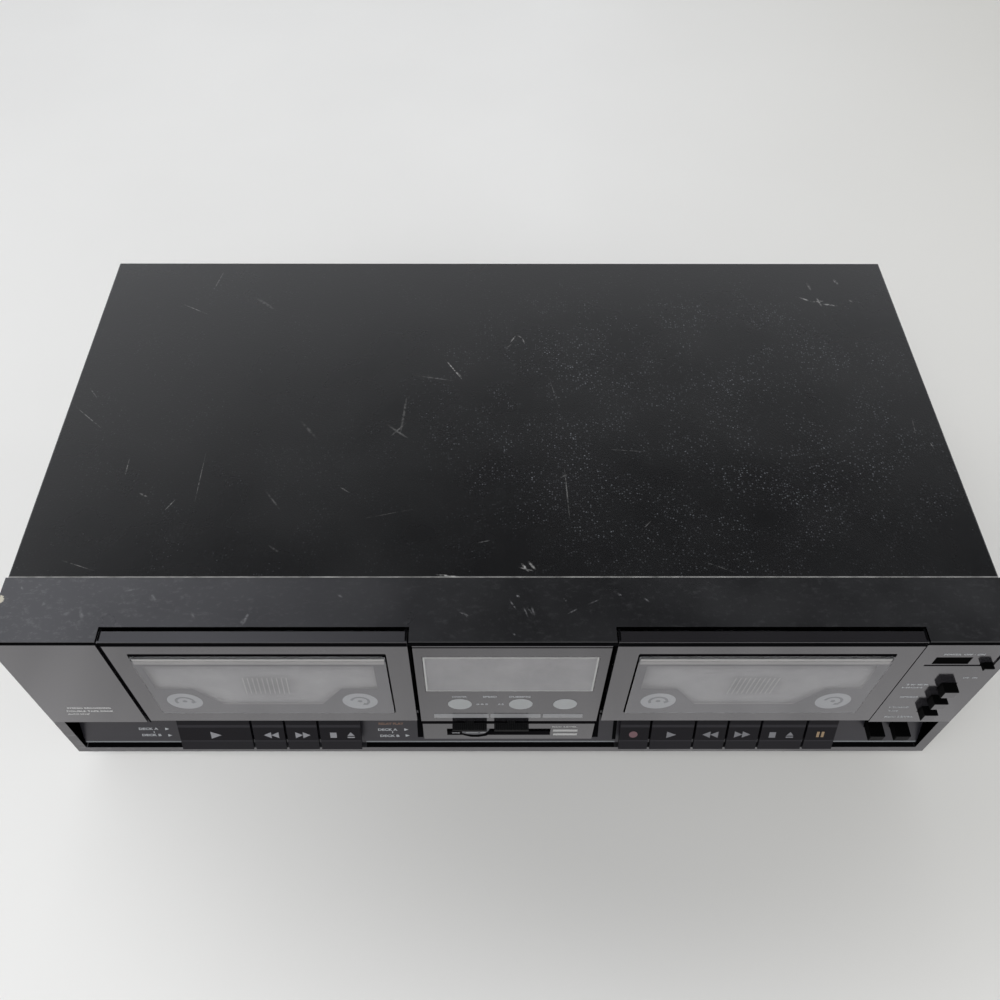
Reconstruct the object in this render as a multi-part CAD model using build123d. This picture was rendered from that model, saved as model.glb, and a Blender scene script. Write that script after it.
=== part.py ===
from build123d import *
import os
from math import cos, hypot, radians, tan

# Double cassette deck, in millimetres. +X to the right seen from the front, +Y to the rear,
# +Z up. The origin is on the ground under the middle of the whole deck.
# Depths are measured back from the plane of the front panels, drops down from the top.

# Case
case_width = 430.0
case_height = 116.0
case_depth = 240.0
foot_height = 9.0
button_reach = 4.7
jack_reach = 8.0
sheet = 1.0
fit_gap = 0.1
running_gap = 0.05
past = 1.0
merge = 0.5

# Front moulding
fascia_depth = 31.2
fascia_wall = 2.5
panel_thick = 2.0
panel_top = 3.1
groove_lip = 0.6
cheek_width = 5.3
recess_height = 31.1
lip_height = 5.1
lip_depth = 14.0
chin_slope = 0.5
tongue_depth = 19.0
ceiling_thick = 1.5

# Doors and the gaps beside them
door_width = 127.9
left_panel_part = 45.1
centre_panel_part = 83.6
right_panel_part = 39.15
door_top_lip = 0.6
door_face_top = 3.7
door_bottom_gap = 1.8
door_proud = 0.3
door_back = 4.9
door_plate = 3.0
door_rim = 2.5
door_rail_back = 6.4
door_rail_height = 6.0
gap_left_of_a = 1.5
gap_right_of_a = 1.9
gap_left_of_b = 2.15
gap_right_of_b = 0.8
opening_clearance = 0.7
notch_depth = 7.0
pivot_depth = 3.6
pivot_lift = 2.7
pivot_radius = 1.5
pivot_length = 5.5
lug_width = 3.0
lug_back = 8.0
lug_rise = 6.3
swing_clearance = 0.5
rail_corner = 0.6
flange_top_gap = 1.0
door_groove_slope = 1.0

# Door window
window_width = 108.0
window_top = 12.2
window_sill = 10.4
window_proud = 0.9
window_side_gap = 0.5
window_top_gap = 1.5
window_flange = 2.0
window_flange_thick = 1.2
window_edge_chamfer = 0.6
window_step_top = 13.2
window_step_bottom = 15.4
window_step_deep = 0.8

# Cassette holder, around a cassette of 100.4 x 63.8 x 12 mm
cassette_width = 101.5
cassette_thick = 12.5
holder_top = 6.0
holder_floor_lift = 8.0
holder_wall = 1.0
holder_shelf = 1.5
holder_front_depth = 5.2
holder_front_skin = 0.5
holder_mouth_width = 84.0
head_mouth_width = 76.0
head_mouth_depth = 8.0
holder_tab_width = 6.0
holder_tab_gap = 0.3

# Meter and slider group in the middle
meter_part = 75.6
meter_offset = -0.4
meter_top = 13.4
meter_sill = 33.3
meter_border = 2.0
display_gap = 0.5
display_board_inset = 1.0
centre_panel_gap = 1.0
centre_line_top = 4.6
centre_line_bottom = 5.6
line_deep = 0.7
slider_hood_drop = 3.2
slider_hood_height = 18.0
slider_hood_front = 0.4
slider_hood_wall = 1.5
slider_hood_gap = 0.3
slot_left_offset = -30.0
slot_right_offset = 20.6
slot_inset = 5.6
slot_height = 7.7
knob_part = 16.5
knob_left_offset = -18.75
knob_right_offset = 1.25
knob_front = 4.2
knob_back = 0.8
knob_lift = 0.4
knob_thick = 2.0
knob_stem_width = 4.0
rib_count = 9
rib_deep = 0.35
knob_stem_inset = 0.2
pot_front = 12.2
pot_rise = 3.4
pot_height = 8.8
pot_half_part = 34.0
pot_end_wall = 2.0
pot_slot_clearance = 0.5
stem_in_pot = 2.0

# Boards behind the front
display_board_depth = 20.2
board_thick = 1.6
display_board_top = 6.5
display_board_foot = 1.2
display_depth = 7.0
boss_radius = 2.5
boss_inset = 2.0
meter_boss_top = 10.0
control_boss_inset = 1.0
control_boss_top = 26.5
control_boss_lift = 7.8
control_board_depth = 26.0
control_board_from = 5.35
control_board_to = 35.75
control_board_top = 8.0
control_board_foot = 8.0

# Key recess panel, inclined back from its foot
recess_foot_depth = 1.5
recess_foot_lift = 2.9
recess_tilt = 21.5
recess_panel_thick = 2.0
end_gap = 0.2
key_window_height = 18.0
key_window_lift = 2.0
key_window_margin = 3.0

# Keys
key_face_tilt = 19.0
key_lift = 5.4
key_height = 22.9
key_bottom_reach = 3.2
key_skin = 2.2
key_gap = 1.2
key_arm_width = 4.0
key_arm_half = 4.0
key_hub_side = 1.0
key_window_front = 5.0
key_hub_radius = 4.5
key_shaft_radius = 2.0
key_shaft_depth = 58.0
key_shaft_lift = 9.5
key_row_a_offset = -54.85
key_row_a = [("play", 36.6), ("rewind", 16.4), ("forward", 16.3), ("stop", 21.2)]
key_row_b_offset = -53.5
key_row_b = [("record", 15.5), ("play", 21.8), ("rewind", 16.0), ("forward", 16.3),
             ("stop", 22.3), ("pause", 15.7)]

# Push buttons: the column of three, the pair in the recess, the power button
column_from = 19.25
column_width = 6.4
column_height = 5.8
column_rise = 41.6
column_pitch = 12.1
recess_button_from = 8.65
recess_button_step = 12.6
recess_button_part = 7.2
recess_button_lift = 17.9
recess_button_height = 5.0
recess_button_front = 2.0
power_from = 28.85
power_width = 4.6
power_top = 18.5
power_height = 2.0
power_front = 3.1
button_clearance = 0.4
button_flange = 1.2
button_flange_thick = 1.5
button_flange_gap = 0.5
button_edge = 0.4
switch_front = 15.0
switch_bore_deep = 6.5
button_stem_in = 2.0
button_stem_side = 3.0
switch_side = 9.0

# Dark indicator window and the groove round the power button
lens_from = 7.6
lens_part = 15.4
lens_top = 13.8
lens_height = 6.0
lens_sunk = 0.3
power_groove_from = 4.85
power_groove_to = 34.95
power_groove_drop = 21.2
power_groove_wide = 1.4

# Mechanism of each deck, placed from the middle of its door
mech_plate_depth = 20.0
mech_plate_thick = 1.2
mech_half_width = 68.0
mech_top = 8.0
mech_reach = 4.2
mech_leg_width = 8.0
mech_foot_back = 34.0
ear_back = 64.0
ear_rise = 8.0
reel_half_spacing = 21.25
reel_rise = 25.6
spindle_radius = 4.5
spindle_front = 10.1
spindle_spline = 1.0
spline_wide = 1.2
reel_flange_radius = 10.0
reel_flange_front = 18.4
reel_flange_back = 19.7
reel_shaft_radius = 1.5
reel_gear_radius = 13.0
reel_gear_front = 22.0
reel_gear_back = 24.0
capstan_offset = 24.0
capstan_rise = 18.2
capstan_radius = 1.25
capstan_front = 10.1
flywheel_radius = 26.0
flywheel_front = 24.6
flywheel_back = 30.0
flywheel_rim = 5.0
flywheel_hub = 5.0
flywheel_web_sunk = 2.0
bridge_depth = 32.0
bridge_post_radius = 3.0
bridge_far_offset = 31.0
bridge_near_offset = 20.0
bridge_near_rise = 30.6
bridge_margin = 5.0
sled_front = 15.5
sled_thick = 1.5
sled_half_width = 33.0
sled_rise = 7.0
sled_height = 15.7
sled_travel = 5.5
sled_pin_inset = 6.2
sled_pin_offset = 29.0
sled_pin_radius = 1.5
sled_pin_front = 15.1
sled_slot_clearance = 0.1
sled_seat_gap = 0.3
sled_seat_radius = 3.6
head_rise = 1.0
head_height = 5.5
head_front = 8.5
head_width = 14.0
head_corner = 2.0
erase_head_width = 8.0
erase_head_offset = -20.0
roller_radius = 4.5
roller_front = 9.0
roller_back = 15.2
roller_pin_radius = 1.0
roller_gap = 0.3

# Motor between the decks, its pulley and the two belts
motor_offset = 0.1
motor_radius = 17.0
motor_front = 32.8
motor_back = 60.0
motor_shaft_radius = 1.0
motor_shaft_in = 8.0
motor_shaft_hole = 10.0
motor_edge = 1.5
pulley_radius = 5.0
pulley_rib = 1.0
pulley_rib_half = 0.15
tongue_half_width = 21.5
tongue_hole_radius = 3.0
tongue_rise = 21.6
belt_thick = 1.2
belt_gap = 0.15
belt_width = 2.4

# Pan, rear panel, feet and fasteners
pan_lift = 0.5
pan_thick = 1.2
pan_flange_height = 19.0
pan_front_gap = 0.2
pan_side_gap = 0.3
pan_body_gap = 0.8
rear_thick = 1.2
cover_lip = 9.0
cover_inset = 0.7
cover_corner = 0.9
foot_radius = 13.0
foot_inset = 40.0
foot_front_depth = 38.0
foot_rear_inset = 35.0
foot_bore_radius = 4.5
foot_bore_deep = 4.0
foot_edge = 1.0
foot_screw_radius = 1.9
foot_screw_head = 3.6
foot_screw_head_thick = 2.2
foot_screw_tip = 3.0
case_screw_radius = 1.5
case_screw_head = 3.0
case_screw_head_thick = 1.5
case_screw_tip = 3.0
side_screw_front = 62.0
side_screw_rear_inset = 40.0
side_screw_lift = 12.0
rear_low_inset = 35.0
rear_low_lift = 9.0
rear_high_inset = 65.0
rear_high_drop = 5.0

# Main board, transformer, jacks and cord gland
pillar_height = 8.7
pillar_radius = 3.0
board_left_inset = 30.0
board_width = 245.0
board_front_depth = 92.0
board_rear_inset = 16.0
pillar_inset = 8.0
transformer_inset = 75.0
transformer_rear_inset = 60.0
transformer_width = 58.0
transformer_length = 48.0
transformer_height = 50.0
transformer_limb = 9.0
bobbin_overhang = 5.0
capacitor_count = 6
capacitor_radius = 5.0
capacitor_height = 12.0
capacitor_radius_step = 1.5
capacitor_height_step = 6.0
capacitor_left = 30.0
capacitor_pitch = 34.0
capacitor_row = 30.0
chip_count = 4
chip_length = 24.0
chip_width = 9.0
chip_height = 4.0
chip_left = 40.0
chip_pitch = 50.0
chip_rear_inset = 57.0
sink_left = 50.0
sink_right = 10.0
sink_front = 30.0
sink_back = 14.0
sink_height = 25.0
fin_count = 5
fin_left = 3.0
fin_pitch = 7.5
fin_space = 5.0
sink_web = 4.0
sink_foot = 2.0
jack_inset = 85.0
jack_pitch = 16.0
jack_drop = 40.0
jack_plate_margin = 9.0
jack_plate_overlap = 2.0
jack_plate_thick = 1.5
jack_body_depth = 12.0
jack_barrel_radius = 4.15
jack_barrel_length = jack_reach + sheet - jack_plate_thick
jack_bore_radius = 1.7
jack_bore_deep = 7.0
gland_inset = 65.0
gland_lift = 32.0
gland_flange_radius = 7.5
gland_neck_radius = 5.4
gland_bore_radius = 3.3
gland_flange_thick = 2.0
gland_bore_past = 5.0

# Places worked out from the sizes above
case_top = foot_height + case_height
front_y = -(button_reach + case_depth + jack_reach) / 2 + button_reach
half_width = case_width / 2
wall_back = panel_thick + fascia_wall
pan_top_drop = case_height - pan_lift - pan_thick
rear_outer = case_depth - sheet
rear_inner = rear_outer - rear_thick
cover_side = half_width - cover_inset
pan_side = cover_side - sheet - fit_gap

# Across the front: the width that the doors and gaps leave is shared by the three panels
front_gaps = gap_left_of_a + gap_right_of_a + gap_left_of_b + gap_right_of_b
panel_parts = left_panel_part + centre_panel_part + right_panel_part
share = (case_width - 2 * door_width - front_gaps) / panel_parts
left_panel_right = -half_width + left_panel_part * share
door_a_centre = left_panel_right + gap_left_of_a + door_width / 2
centre_panel_left = door_a_centre + door_width / 2 + gap_right_of_a
centre_panel_right = centre_panel_left + centre_panel_part * share
door_b_centre = centre_panel_right + gap_left_of_b + door_width / 2
right_panel_left = half_width - right_panel_part * share
mech_centres = {"a": door_a_centre, "b": door_b_centre}
motor_side = {"a": 1, "b": -1}
opening_half = door_width / 2 + opening_clearance
lug_inner_left = door_a_centre + opening_half + lug_width
lug_inner_right = door_b_centre - opening_half - lug_width
key_row_a_left = door_a_centre + key_row_a_offset
key_row_b_left = door_b_centre + key_row_b_offset
centre_middle = (centre_panel_left + centre_panel_right) / 2
meter_width = meter_part * share
meter_centre = centre_middle + meter_offset * share
slider_slot_left = centre_middle + slot_left_offset * share
slider_slot_right = centre_middle + slot_right_offset * share
knob_width = knob_part * share
knob_left_centre = centre_middle + knob_left_offset * share
knob_right_centre = centre_middle + knob_right_offset * share
pot_half_width = pot_half_part * share
motor_centre = centre_middle + motor_offset
lens_left = right_panel_left + lens_from * share
lens_width = lens_part * share
power_left = right_panel_left + power_from * share
power_groove_left = right_panel_left + power_groove_from * share
power_groove_right = right_panel_left + power_groove_to * share
column_left = right_panel_left + column_from * share
recess_button_left = right_panel_left + recess_button_from * share
recess_button_pitch = recess_button_step * share
recess_button_width = recess_button_part * share
control_board_left = right_panel_left + control_board_from * share
control_board_right = right_panel_left + control_board_to * share

# Down the front: the key recess is placed from the foot, and the parts over it from its top
recess_bottom = case_height - lip_height
recess_top = recess_bottom - recess_height
recess_foot_drop = recess_bottom - recess_foot_lift
recess_thick_level = recess_panel_thick / cos(radians(recess_tilt))
door_bottom = recess_top - door_bottom_gap
door_rail_top = door_bottom - door_rail_height
pivot_drop = door_bottom - pivot_lift
lug_top = pivot_drop - lug_rise
window_bottom = door_bottom - window_sill
holder_floor = door_bottom - holder_floor_lift
holder_back = holder_front_depth + holder_front_skin + cassette_thick + holder_wall
meter_bottom = recess_top - meter_sill
centre_panel_bottom = recess_top - centre_panel_gap
wall_bottom_centre = recess_top - ceiling_thick
slider_hood_top = recess_top + slider_hood_drop
slider_hood_bottom = slider_hood_top + slider_hood_height
slider_slot_top = slider_hood_top + slot_inset
slider_slot_bottom = slider_slot_top + slot_height
knob_top = recess_top - knob_lift
pot_top = knob_top - pot_rise
pot_bottom = pot_top + pot_height
display_board_bottom = pot_bottom + display_board_foot
control_board_bottom = case_height - control_board_foot
control_boss_drops = [control_boss_top, recess_top - control_boss_lift]
column_first_top = recess_top - column_rise
recess_button_top = recess_bottom - recess_button_lift
key_bottom = recess_bottom - key_lift
key_top = key_bottom - key_height
key_shaft_drop = key_bottom - key_shaft_lift
key_arm_top = key_shaft_drop - key_arm_half
key_arm_bottom = key_shaft_drop + key_arm_half
key_window_bottom = recess_foot_drop - key_window_lift
key_window_top = key_window_bottom - key_window_height
mech_bottom = recess_top + mech_reach
ear_top = key_shaft_drop - ear_rise
capstan_drop = recess_top - capstan_rise
reel_drop = capstan_drop - reel_rise
bridge_near_drop = capstan_drop - bridge_near_rise
bridge_back = bridge_depth + mech_plate_thick
sled_top = recess_top - sled_rise
sled_bottom = sled_top + sled_height
sled_pin_drop = sled_top + sled_pin_inset
head_top = sled_top - head_rise
head_bottom = head_top + head_height
roller_drop = capstan_drop + capstan_radius + roller_gap + roller_radius + sled_travel
tongue_top = capstan_drop - tongue_rise

# Case, feet, fasteners and boards
pan_flange_top = case_height - pan_flange_height
foot_side = half_width - foot_inset
foot_rear_depth = case_depth - foot_rear_inset
side_screw_depths = [side_screw_front, case_depth - side_screw_rear_inset]
side_screw_drop = case_height - side_screw_lift
rear_low_side = half_width - rear_low_inset
rear_low_screws = [-rear_low_side, -rear_low_side / 3,
                   rear_low_side / 3, rear_low_side]
rear_low_drop = case_height - rear_low_lift
rear_high_side = half_width - rear_high_inset
rear_high_screws = [-rear_high_side, 0.0, rear_high_side]
board_left = -half_width + board_left_inset
board_right = board_left + board_width
board_back_depth = case_depth - board_rear_inset
transformer_centre = half_width - transformer_inset
transformer_depth = case_depth - transformer_rear_inset
jack_centre = -half_width + jack_inset
gland_side = half_width - gland_inset
gland_drop = case_height - gland_lift
gland_hole_radius = gland_neck_radius + running_gap
screw_hole_radius = case_screw_radius + running_gap
capstan_hole_radius = capstan_radius + running_gap


def depth(value):
    """Y of a depth behind the front plane."""
    return front_y + value


def drop(value):
    """Z of a drop below the top."""
    return case_top - value


def block(x0, x1, depth0, depth1, drop_high, drop_low):
    """A box between two X, two depths and two drops, the higher edge first."""
    box = Box(x1 - x0, depth1 - depth0, drop_low - drop_high)
    return Pos((x0 + x1) / 2, depth((depth0 + depth1) / 2), drop((drop_high + drop_low) / 2)) * box


def rod_back(x, at_drop, radius, depth0, depth1):
    """A round bar that runs from front to back."""
    bar = Rot(90, 0, 0) * Cylinder(radius, depth1 - depth0)
    return Pos(x, depth((depth0 + depth1) / 2), drop(at_drop)) * bar


def rod_side(x0, x1, at_depth, at_drop, radius):
    """A round bar that runs from left to right."""
    bar = Rot(0, 90, 0) * Cylinder(radius, x1 - x0)
    return Pos((x0 + x1) / 2, depth(at_depth), drop(at_drop)) * bar


def rod_up(x, at_depth, radius, drop_high, drop_low):
    """A round bar that stands up."""
    bar = Cylinder(radius, drop_low - drop_high)
    return Pos(x, depth(at_depth), drop((drop_high + drop_low) / 2)) * bar


def run_side(x0, x1, outline):
    """An outline of (depth, drop) points, drawn out from x0 to x1."""
    points = [(depth(d), drop(p)) for d, p in outline]
    face = make_face(Polyline(*points, close=True))
    return extrude(Plane.YZ.offset(x0) * face, x1 - x0)


def recess_face(at_drop):
    """Depth of the key recess panel's front face at a drop."""
    return recess_foot_depth + (recess_foot_drop - at_drop) * tan(radians(recess_tilt))


def key_face(at_drop):
    """Depth of the keys' front faces at a drop."""
    return -key_bottom_reach + (key_bottom - at_drop) * tan(radians(key_face_tilt))


def key_spans(left, row):
    """Name, left and right of each key in a row, with the gap taken off both sides."""
    spans = []
    x = left
    for name, pitch in row:
        spans.append((name, x + key_gap / 2, x + pitch - key_gap / 2))
        x += pitch
    return spans


keys = {"a": key_spans(key_row_a_left, key_row_a), "b": key_spans(key_row_b_left, key_row_b)}

# Push buttons as name: left, width, top, height, how far the front stands forward
buttons = {}
for place, name in enumerate(["switch_button_top", "switch_button_middle", "switch_button_bottom"]):
    top = column_first_top + place * column_pitch
    buttons[name] = (column_left, column_width, top, column_height, button_reach)
for place, name in enumerate(["recess_button_left", "recess_button_right"]):
    left = recess_button_left - recess_button_width / 2 + place * recess_button_pitch
    buttons[name] = (left, recess_button_width, recess_button_top, recess_button_height,
                     recess_button_front)
buttons["power_button"] = (power_left, power_width, power_top, power_height, power_front)


def button_hole(name, depth0, depth1, extra=button_clearance):
    """The space a button passes through."""
    left, width, top, height, _ = buttons[name]
    return block(left - extra, left + width + extra, depth0, depth1, top - extra, top + height + extra)


def front_buttons():
    """Names of the buttons that come out of the right panel."""
    return [name for name in buttons if not name.startswith("recess")]


def recess_buttons():
    """Names of the buttons that come out of the key recess panel."""
    return [name for name in buttons if name.startswith("recess")]


meter_bosses = [(meter_centre + side * (meter_width / 2 - boss_radius - boss_inset), at)
                for side in (-1, 1)
                for at in (meter_boss_top, meter_bottom + 2 * boss_radius + boss_inset)]
control_bosses = [(control_board_left + boss_radius + control_boss_inset, at)
                  for at in control_boss_drops]


def make_top_cover():
    """Folded steel sheet: the top, both sides and a short lip down the rear edge."""
    x = cover_side
    front = fascia_depth + fit_gap
    low = case_height - pan_lift - cover_inset
    cover = block(-x, x, front, case_depth, 0, low)
    cover -= block(-x + sheet, x - sheet, front - past, case_depth - sheet, sheet, low + past)
    cover -= block(-x + sheet, x - sheet, case_depth - sheet - past, case_depth + past, cover_lip,
                   low + past)
    edges = cover.edges().filter_by(Axis.Y).group_by(Axis.Z)[-1]
    cover = fillet(edges, cover_corner)
    for at_depth in side_screw_depths:
        cover -= rod_side(-x - past, x + past, at_depth, side_screw_drop, screw_hole_radius)
    for at in rear_high_screws:
        cover -= rod_back(at, rear_high_drop, screw_hole_radius, case_depth - sheet - past,
                          case_depth + past)
    return cover


def make_chassis_pan():
    """Bottom pan: floor, side flanges, rear flange, board pillars and the motor's tongue."""
    low = case_height - pan_lift
    inner = half_width - fascia_wall - pan_side_gap
    outer = pan_side
    front = lip_depth + pan_front_gap
    body = fascia_depth + pan_body_gap
    pan = block(-inner, inner, front, body, pan_top_drop, low)
    pan += block(-outer, outer, body, rear_inner, pan_top_drop, low)
    for side in (-1, 1):
        x0, x1 = sorted((side * (outer - pan_thick), side * outer))
        pan += block(x0, x1, body, rear_inner, pan_flange_top, low)
    pan += block(-outer, outer, rear_inner - pan_thick, rear_inner, pan_flange_top, low)
    for x in (board_left + pillar_inset, board_right - pillar_inset):
        for at_depth in (board_front_depth + pillar_inset, board_back_depth - pillar_inset):
            pan += rod_up(x, at_depth, pillar_radius, pan_top_drop - pillar_height, pan_top_drop)
    pan += block(motor_centre - tongue_half_width, motor_centre + tongue_half_width,
                 motor_front - pan_thick, motor_front, tongue_top, low)
    pan -= rod_back(motor_centre, capstan_drop, tongue_hole_radius, motor_front - pan_thick - past,
                    motor_front + past)
    for at_depth in side_screw_depths:
        pan -= rod_side(-outer - past, outer + past, at_depth, side_screw_drop, screw_hole_radius)
    for at in rear_low_screws:
        pan -= rod_back(at, rear_low_drop, screw_hole_radius, rear_inner - pan_thick - past,
                        rear_inner + past)
    for x in (-foot_side, foot_side):
        for at_depth in (foot_front_depth, foot_rear_depth):
            pan -= rod_up(x, at_depth, foot_screw_radius + running_gap, pan_top_drop - past, low + past)
    return pan


def make_rear_panel():
    """Flat rear sheet with holes for the jack block, the cord gland and the screws."""
    x = pan_side
    panel = block(-x, x, rear_inner, rear_outer, sheet + fit_gap, case_height - pan_lift)
    reach = jack_pitch / 2 + jack_plate_margin - jack_plate_overlap
    panel -= block(jack_centre - reach, jack_centre + reach, rear_inner - past, rear_outer + past,
                   jack_drop - reach, jack_drop + reach)
    panel -= rod_back(gland_side, gland_drop, gland_hole_radius, rear_inner - past, rear_outer + past)
    for at in rear_low_screws:
        panel -= rod_back(at, rear_low_drop, screw_hole_radius, rear_inner - past, rear_outer + past)
    for at in rear_high_screws:
        panel -= rod_back(at, rear_high_drop, screw_hole_radius, rear_inner - past, rear_outer + past)
    return panel


def make_front_fascia():
    """Moulded front frame: top with door notches, sides, front wall, lip, lugs and pivots."""
    inner = half_width - fascia_wall
    fascia = block(-half_width, half_width, 0, fascia_depth, 0, case_height)
    fascia -= block(-inner, inner, wall_back, fascia_depth + past, fascia_wall, case_height + past)
    fascia -= block(-half_width - past, half_width + past, -past, panel_thick, groove_lip, recess_top)
    fascia += run_side(-half_width, half_width, [(0, 0), (0, groove_lip), (panel_thick, fascia_wall),
                                                 (panel_thick + chin_slope, fascia_wall),
                                                 (panel_thick + chin_slope, 0)])
    mouth = half_width - cheek_width
    fascia -= block(-mouth, mouth, -past, fascia_depth + past, recess_top, case_height + past)
    for side in (-1, 1):
        x0, x1 = sorted((side * mouth, side * half_width))
        fascia += block(x0, x1, 0, lip_depth, recess_top, case_height)
    fascia += block(-mouth, mouth, 0, lip_depth, recess_bottom, case_height)
    fascia += block(-mouth, mouth, lip_depth - past, tongue_depth, recess_bottom, pan_top_drop)
    ceiling_back = recess_face(recess_top) + recess_thick_level
    fascia += block(-inner, inner, panel_thick, ceiling_back, recess_top - ceiling_thick, recess_top)
    swing = hypot(door_rail_back - pivot_depth, door_bottom - pivot_drop) + swing_clearance
    for centre in mech_centres.values():
        x0 = centre - opening_half
        x1 = centre + opening_half
        fascia -= block(x0, x1, -past, wall_back + past, -past, recess_top - ceiling_thick)
        fascia -= block(x0, x1, -past, notch_depth, -past, fascia_wall + past)
        fascia -= block(x0, x1, -past, pivot_depth + swing, recess_top - ceiling_thick - past,
                        recess_top + past)
        for x2, x3 in ((x0 - lug_width, x0), (x1, x1 + lug_width)):
            fascia += block(x2, x3, panel_thick, lug_back, lug_top, recess_top)
        fascia += rod_side(x0 - past, x0 + pivot_length, pivot_depth, pivot_drop, pivot_radius)
        fascia += rod_side(x1 - pivot_length, x1 + past, pivot_depth, pivot_drop, pivot_radius)
    half_meter = meter_width / 2 - meter_border
    fascia -= block(meter_centre - half_meter, meter_centre + half_meter, 0, wall_back + past,
                    meter_top + meter_border, meter_bottom - meter_border)
    fascia -= block(lug_inner_left + past, lug_inner_right - past, -past, ceiling_back + past,
                    wall_bottom_centre, recess_top + past)
    for x, at_drop in meter_bosses:
        fascia += rod_back(x, at_drop, boss_radius, wall_back - past, display_board_depth)
    for x, at_drop in control_bosses:
        fascia += rod_back(x, at_drop, boss_radius, wall_back - past, control_board_depth)
    for name in front_buttons():
        fascia -= button_hole(name, 0, wall_back + past)
    return fascia


def make_left_front_panel():
    """Plain gloss panel left of deck A."""
    return block(-half_width, left_panel_right, 0, panel_thick, panel_top, recess_top)


def make_centre_panel():
    """Gloss panel between the decks, cut out for the meter window, with a line along its top."""
    panel = block(centre_panel_left, centre_panel_right, 0, panel_thick, panel_top, centre_panel_bottom)
    half = meter_width / 2 + fit_gap
    panel -= block(meter_centre - half, meter_centre + half, -past, panel_thick + past,
                   meter_top - fit_gap, meter_bottom + fit_gap)
    panel -= block(centre_panel_left - past, centre_panel_right + past, -past, line_deep,
                   centre_line_top, centre_line_bottom)
    return panel


def make_right_front_panel():
    """Gloss panel right of deck B, with button holes, lens pocket and the power groove."""
    panel = block(right_panel_left, half_width, 0, panel_thick, panel_top, recess_top)
    panel -= block(lens_left - fit_gap, lens_left + lens_width + fit_gap, -past, panel_thick + past,
                   lens_top - fit_gap, lens_top + lens_height + fit_gap)
    panel -= block(power_groove_left, power_groove_right, -past, line_deep,
                   power_groove_drop - power_groove_wide / 2, power_groove_drop + power_groove_wide / 2)
    panel -= block(power_groove_right - power_groove_wide, power_groove_right, -past, line_deep,
                   panel_top - past, power_groove_drop)
    for name in front_buttons():
        panel -= button_hole(name, -past, panel_thick + past)
    return panel


def make_indicator_lens():
    """Dark window that lies a little below the right panel's face."""
    return block(lens_left, lens_left + lens_width, lens_sunk, panel_thick, lens_top, lens_top + lens_height)


def make_meter_window():
    """Smoked window set in the centre panel."""
    half = meter_width / 2
    return block(meter_centre - half, meter_centre + half, 0, panel_thick, meter_top, meter_bottom)


def make_slider_panel():
    """Hood under the sliders, standing on the recess panel, with a long slot in its face."""
    left = centre_panel_left + slider_hood_gap
    right = centre_panel_right - slider_hood_gap
    hood = run_side(left, right, [(slider_hood_front, slider_hood_top),
                                  (slider_hood_front, slider_hood_bottom),
                                  (recess_face(slider_hood_bottom), slider_hood_bottom),
                                  (recess_face(slider_hood_top), slider_hood_top)])
    inside = slider_hood_front + panel_thick
    hood -= block(left + slider_hood_wall, right - slider_hood_wall, inside,
                  recess_face(slider_hood_top) + past, slider_hood_top + slider_hood_wall,
                  slider_hood_bottom - slider_hood_wall)
    hood -= block(slider_slot_left, slider_slot_right, -past, inside + past, slider_slot_top,
                  slider_slot_bottom)
    return hood


def make_key_recess_panel():
    """Inclined panel behind the keys, open for the key arms, the sliders and two buttons."""
    x = half_width - cheek_width - end_gap
    panel = run_side(-x, x, [(recess_face(recess_top), recess_top),
                             (recess_face(recess_foot_drop), recess_foot_drop),
                             (recess_face(recess_foot_drop) + recess_thick_level, recess_foot_drop),
                             (recess_face(recess_top) + recess_thick_level, recess_top)])
    far = fascia_depth
    for row in keys.values():
        panel -= block(row[0][1] + key_window_margin, row[-1][2] - key_window_margin, -key_window_front, far,
                       key_window_top, key_window_bottom)
    panel -= block(meter_centre - pot_half_width - past, meter_centre + pot_half_width + past,
                   -key_window_front, far,
                   recess_top - past, pot_bottom + past)
    for name in recess_buttons():
        panel -= button_hole(name, -key_window_front, far)
    return panel


def make_door_frame(centre):
    """Moulded door: top strip flush with the case, groove, face plate, rim, bottom rail."""
    x0 = centre - door_width / 2
    x1 = centre + door_width / 2
    frame = run_side(x0, x1, [(-door_proud, 0), (-door_proud, door_top_lip),
                              (panel_thick, door_face_top - door_groove_slope), (panel_thick, door_face_top),
                              (-door_proud, door_face_top), (-door_proud, door_bottom),
                              (door_rail_back, door_bottom), (door_rail_back, door_rail_top),
                              (door_back, door_rail_top), (door_back, 0)])
    plate_back = door_plate - door_proud
    frame -= block(x0 + door_rim, x1 - door_rim, plate_back, door_rail_back + past,
                   window_top - window_top_gap - window_flange - flange_top_gap, door_rail_top)
    half = window_width / 2 + window_side_gap
    frame -= block(centre - half, centre + half, -door_proud - past, plate_back + past,
                   window_top - window_top_gap, window_bottom + window_side_gap)
    reach = pivot_length - opening_clearance + swing_clearance
    for x2, x3 in ((x0 - past, x0 + reach), (x1 - reach, x1 + past)):
        frame -= rod_side(x2, x3, pivot_depth, pivot_drop, pivot_radius + running_gap)
    low_front = frame.edges().filter_by(Axis.X).group_by(Axis.Z)[0].group_by(Axis.Y)[0]
    return fillet(low_front, rail_corner)


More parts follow.
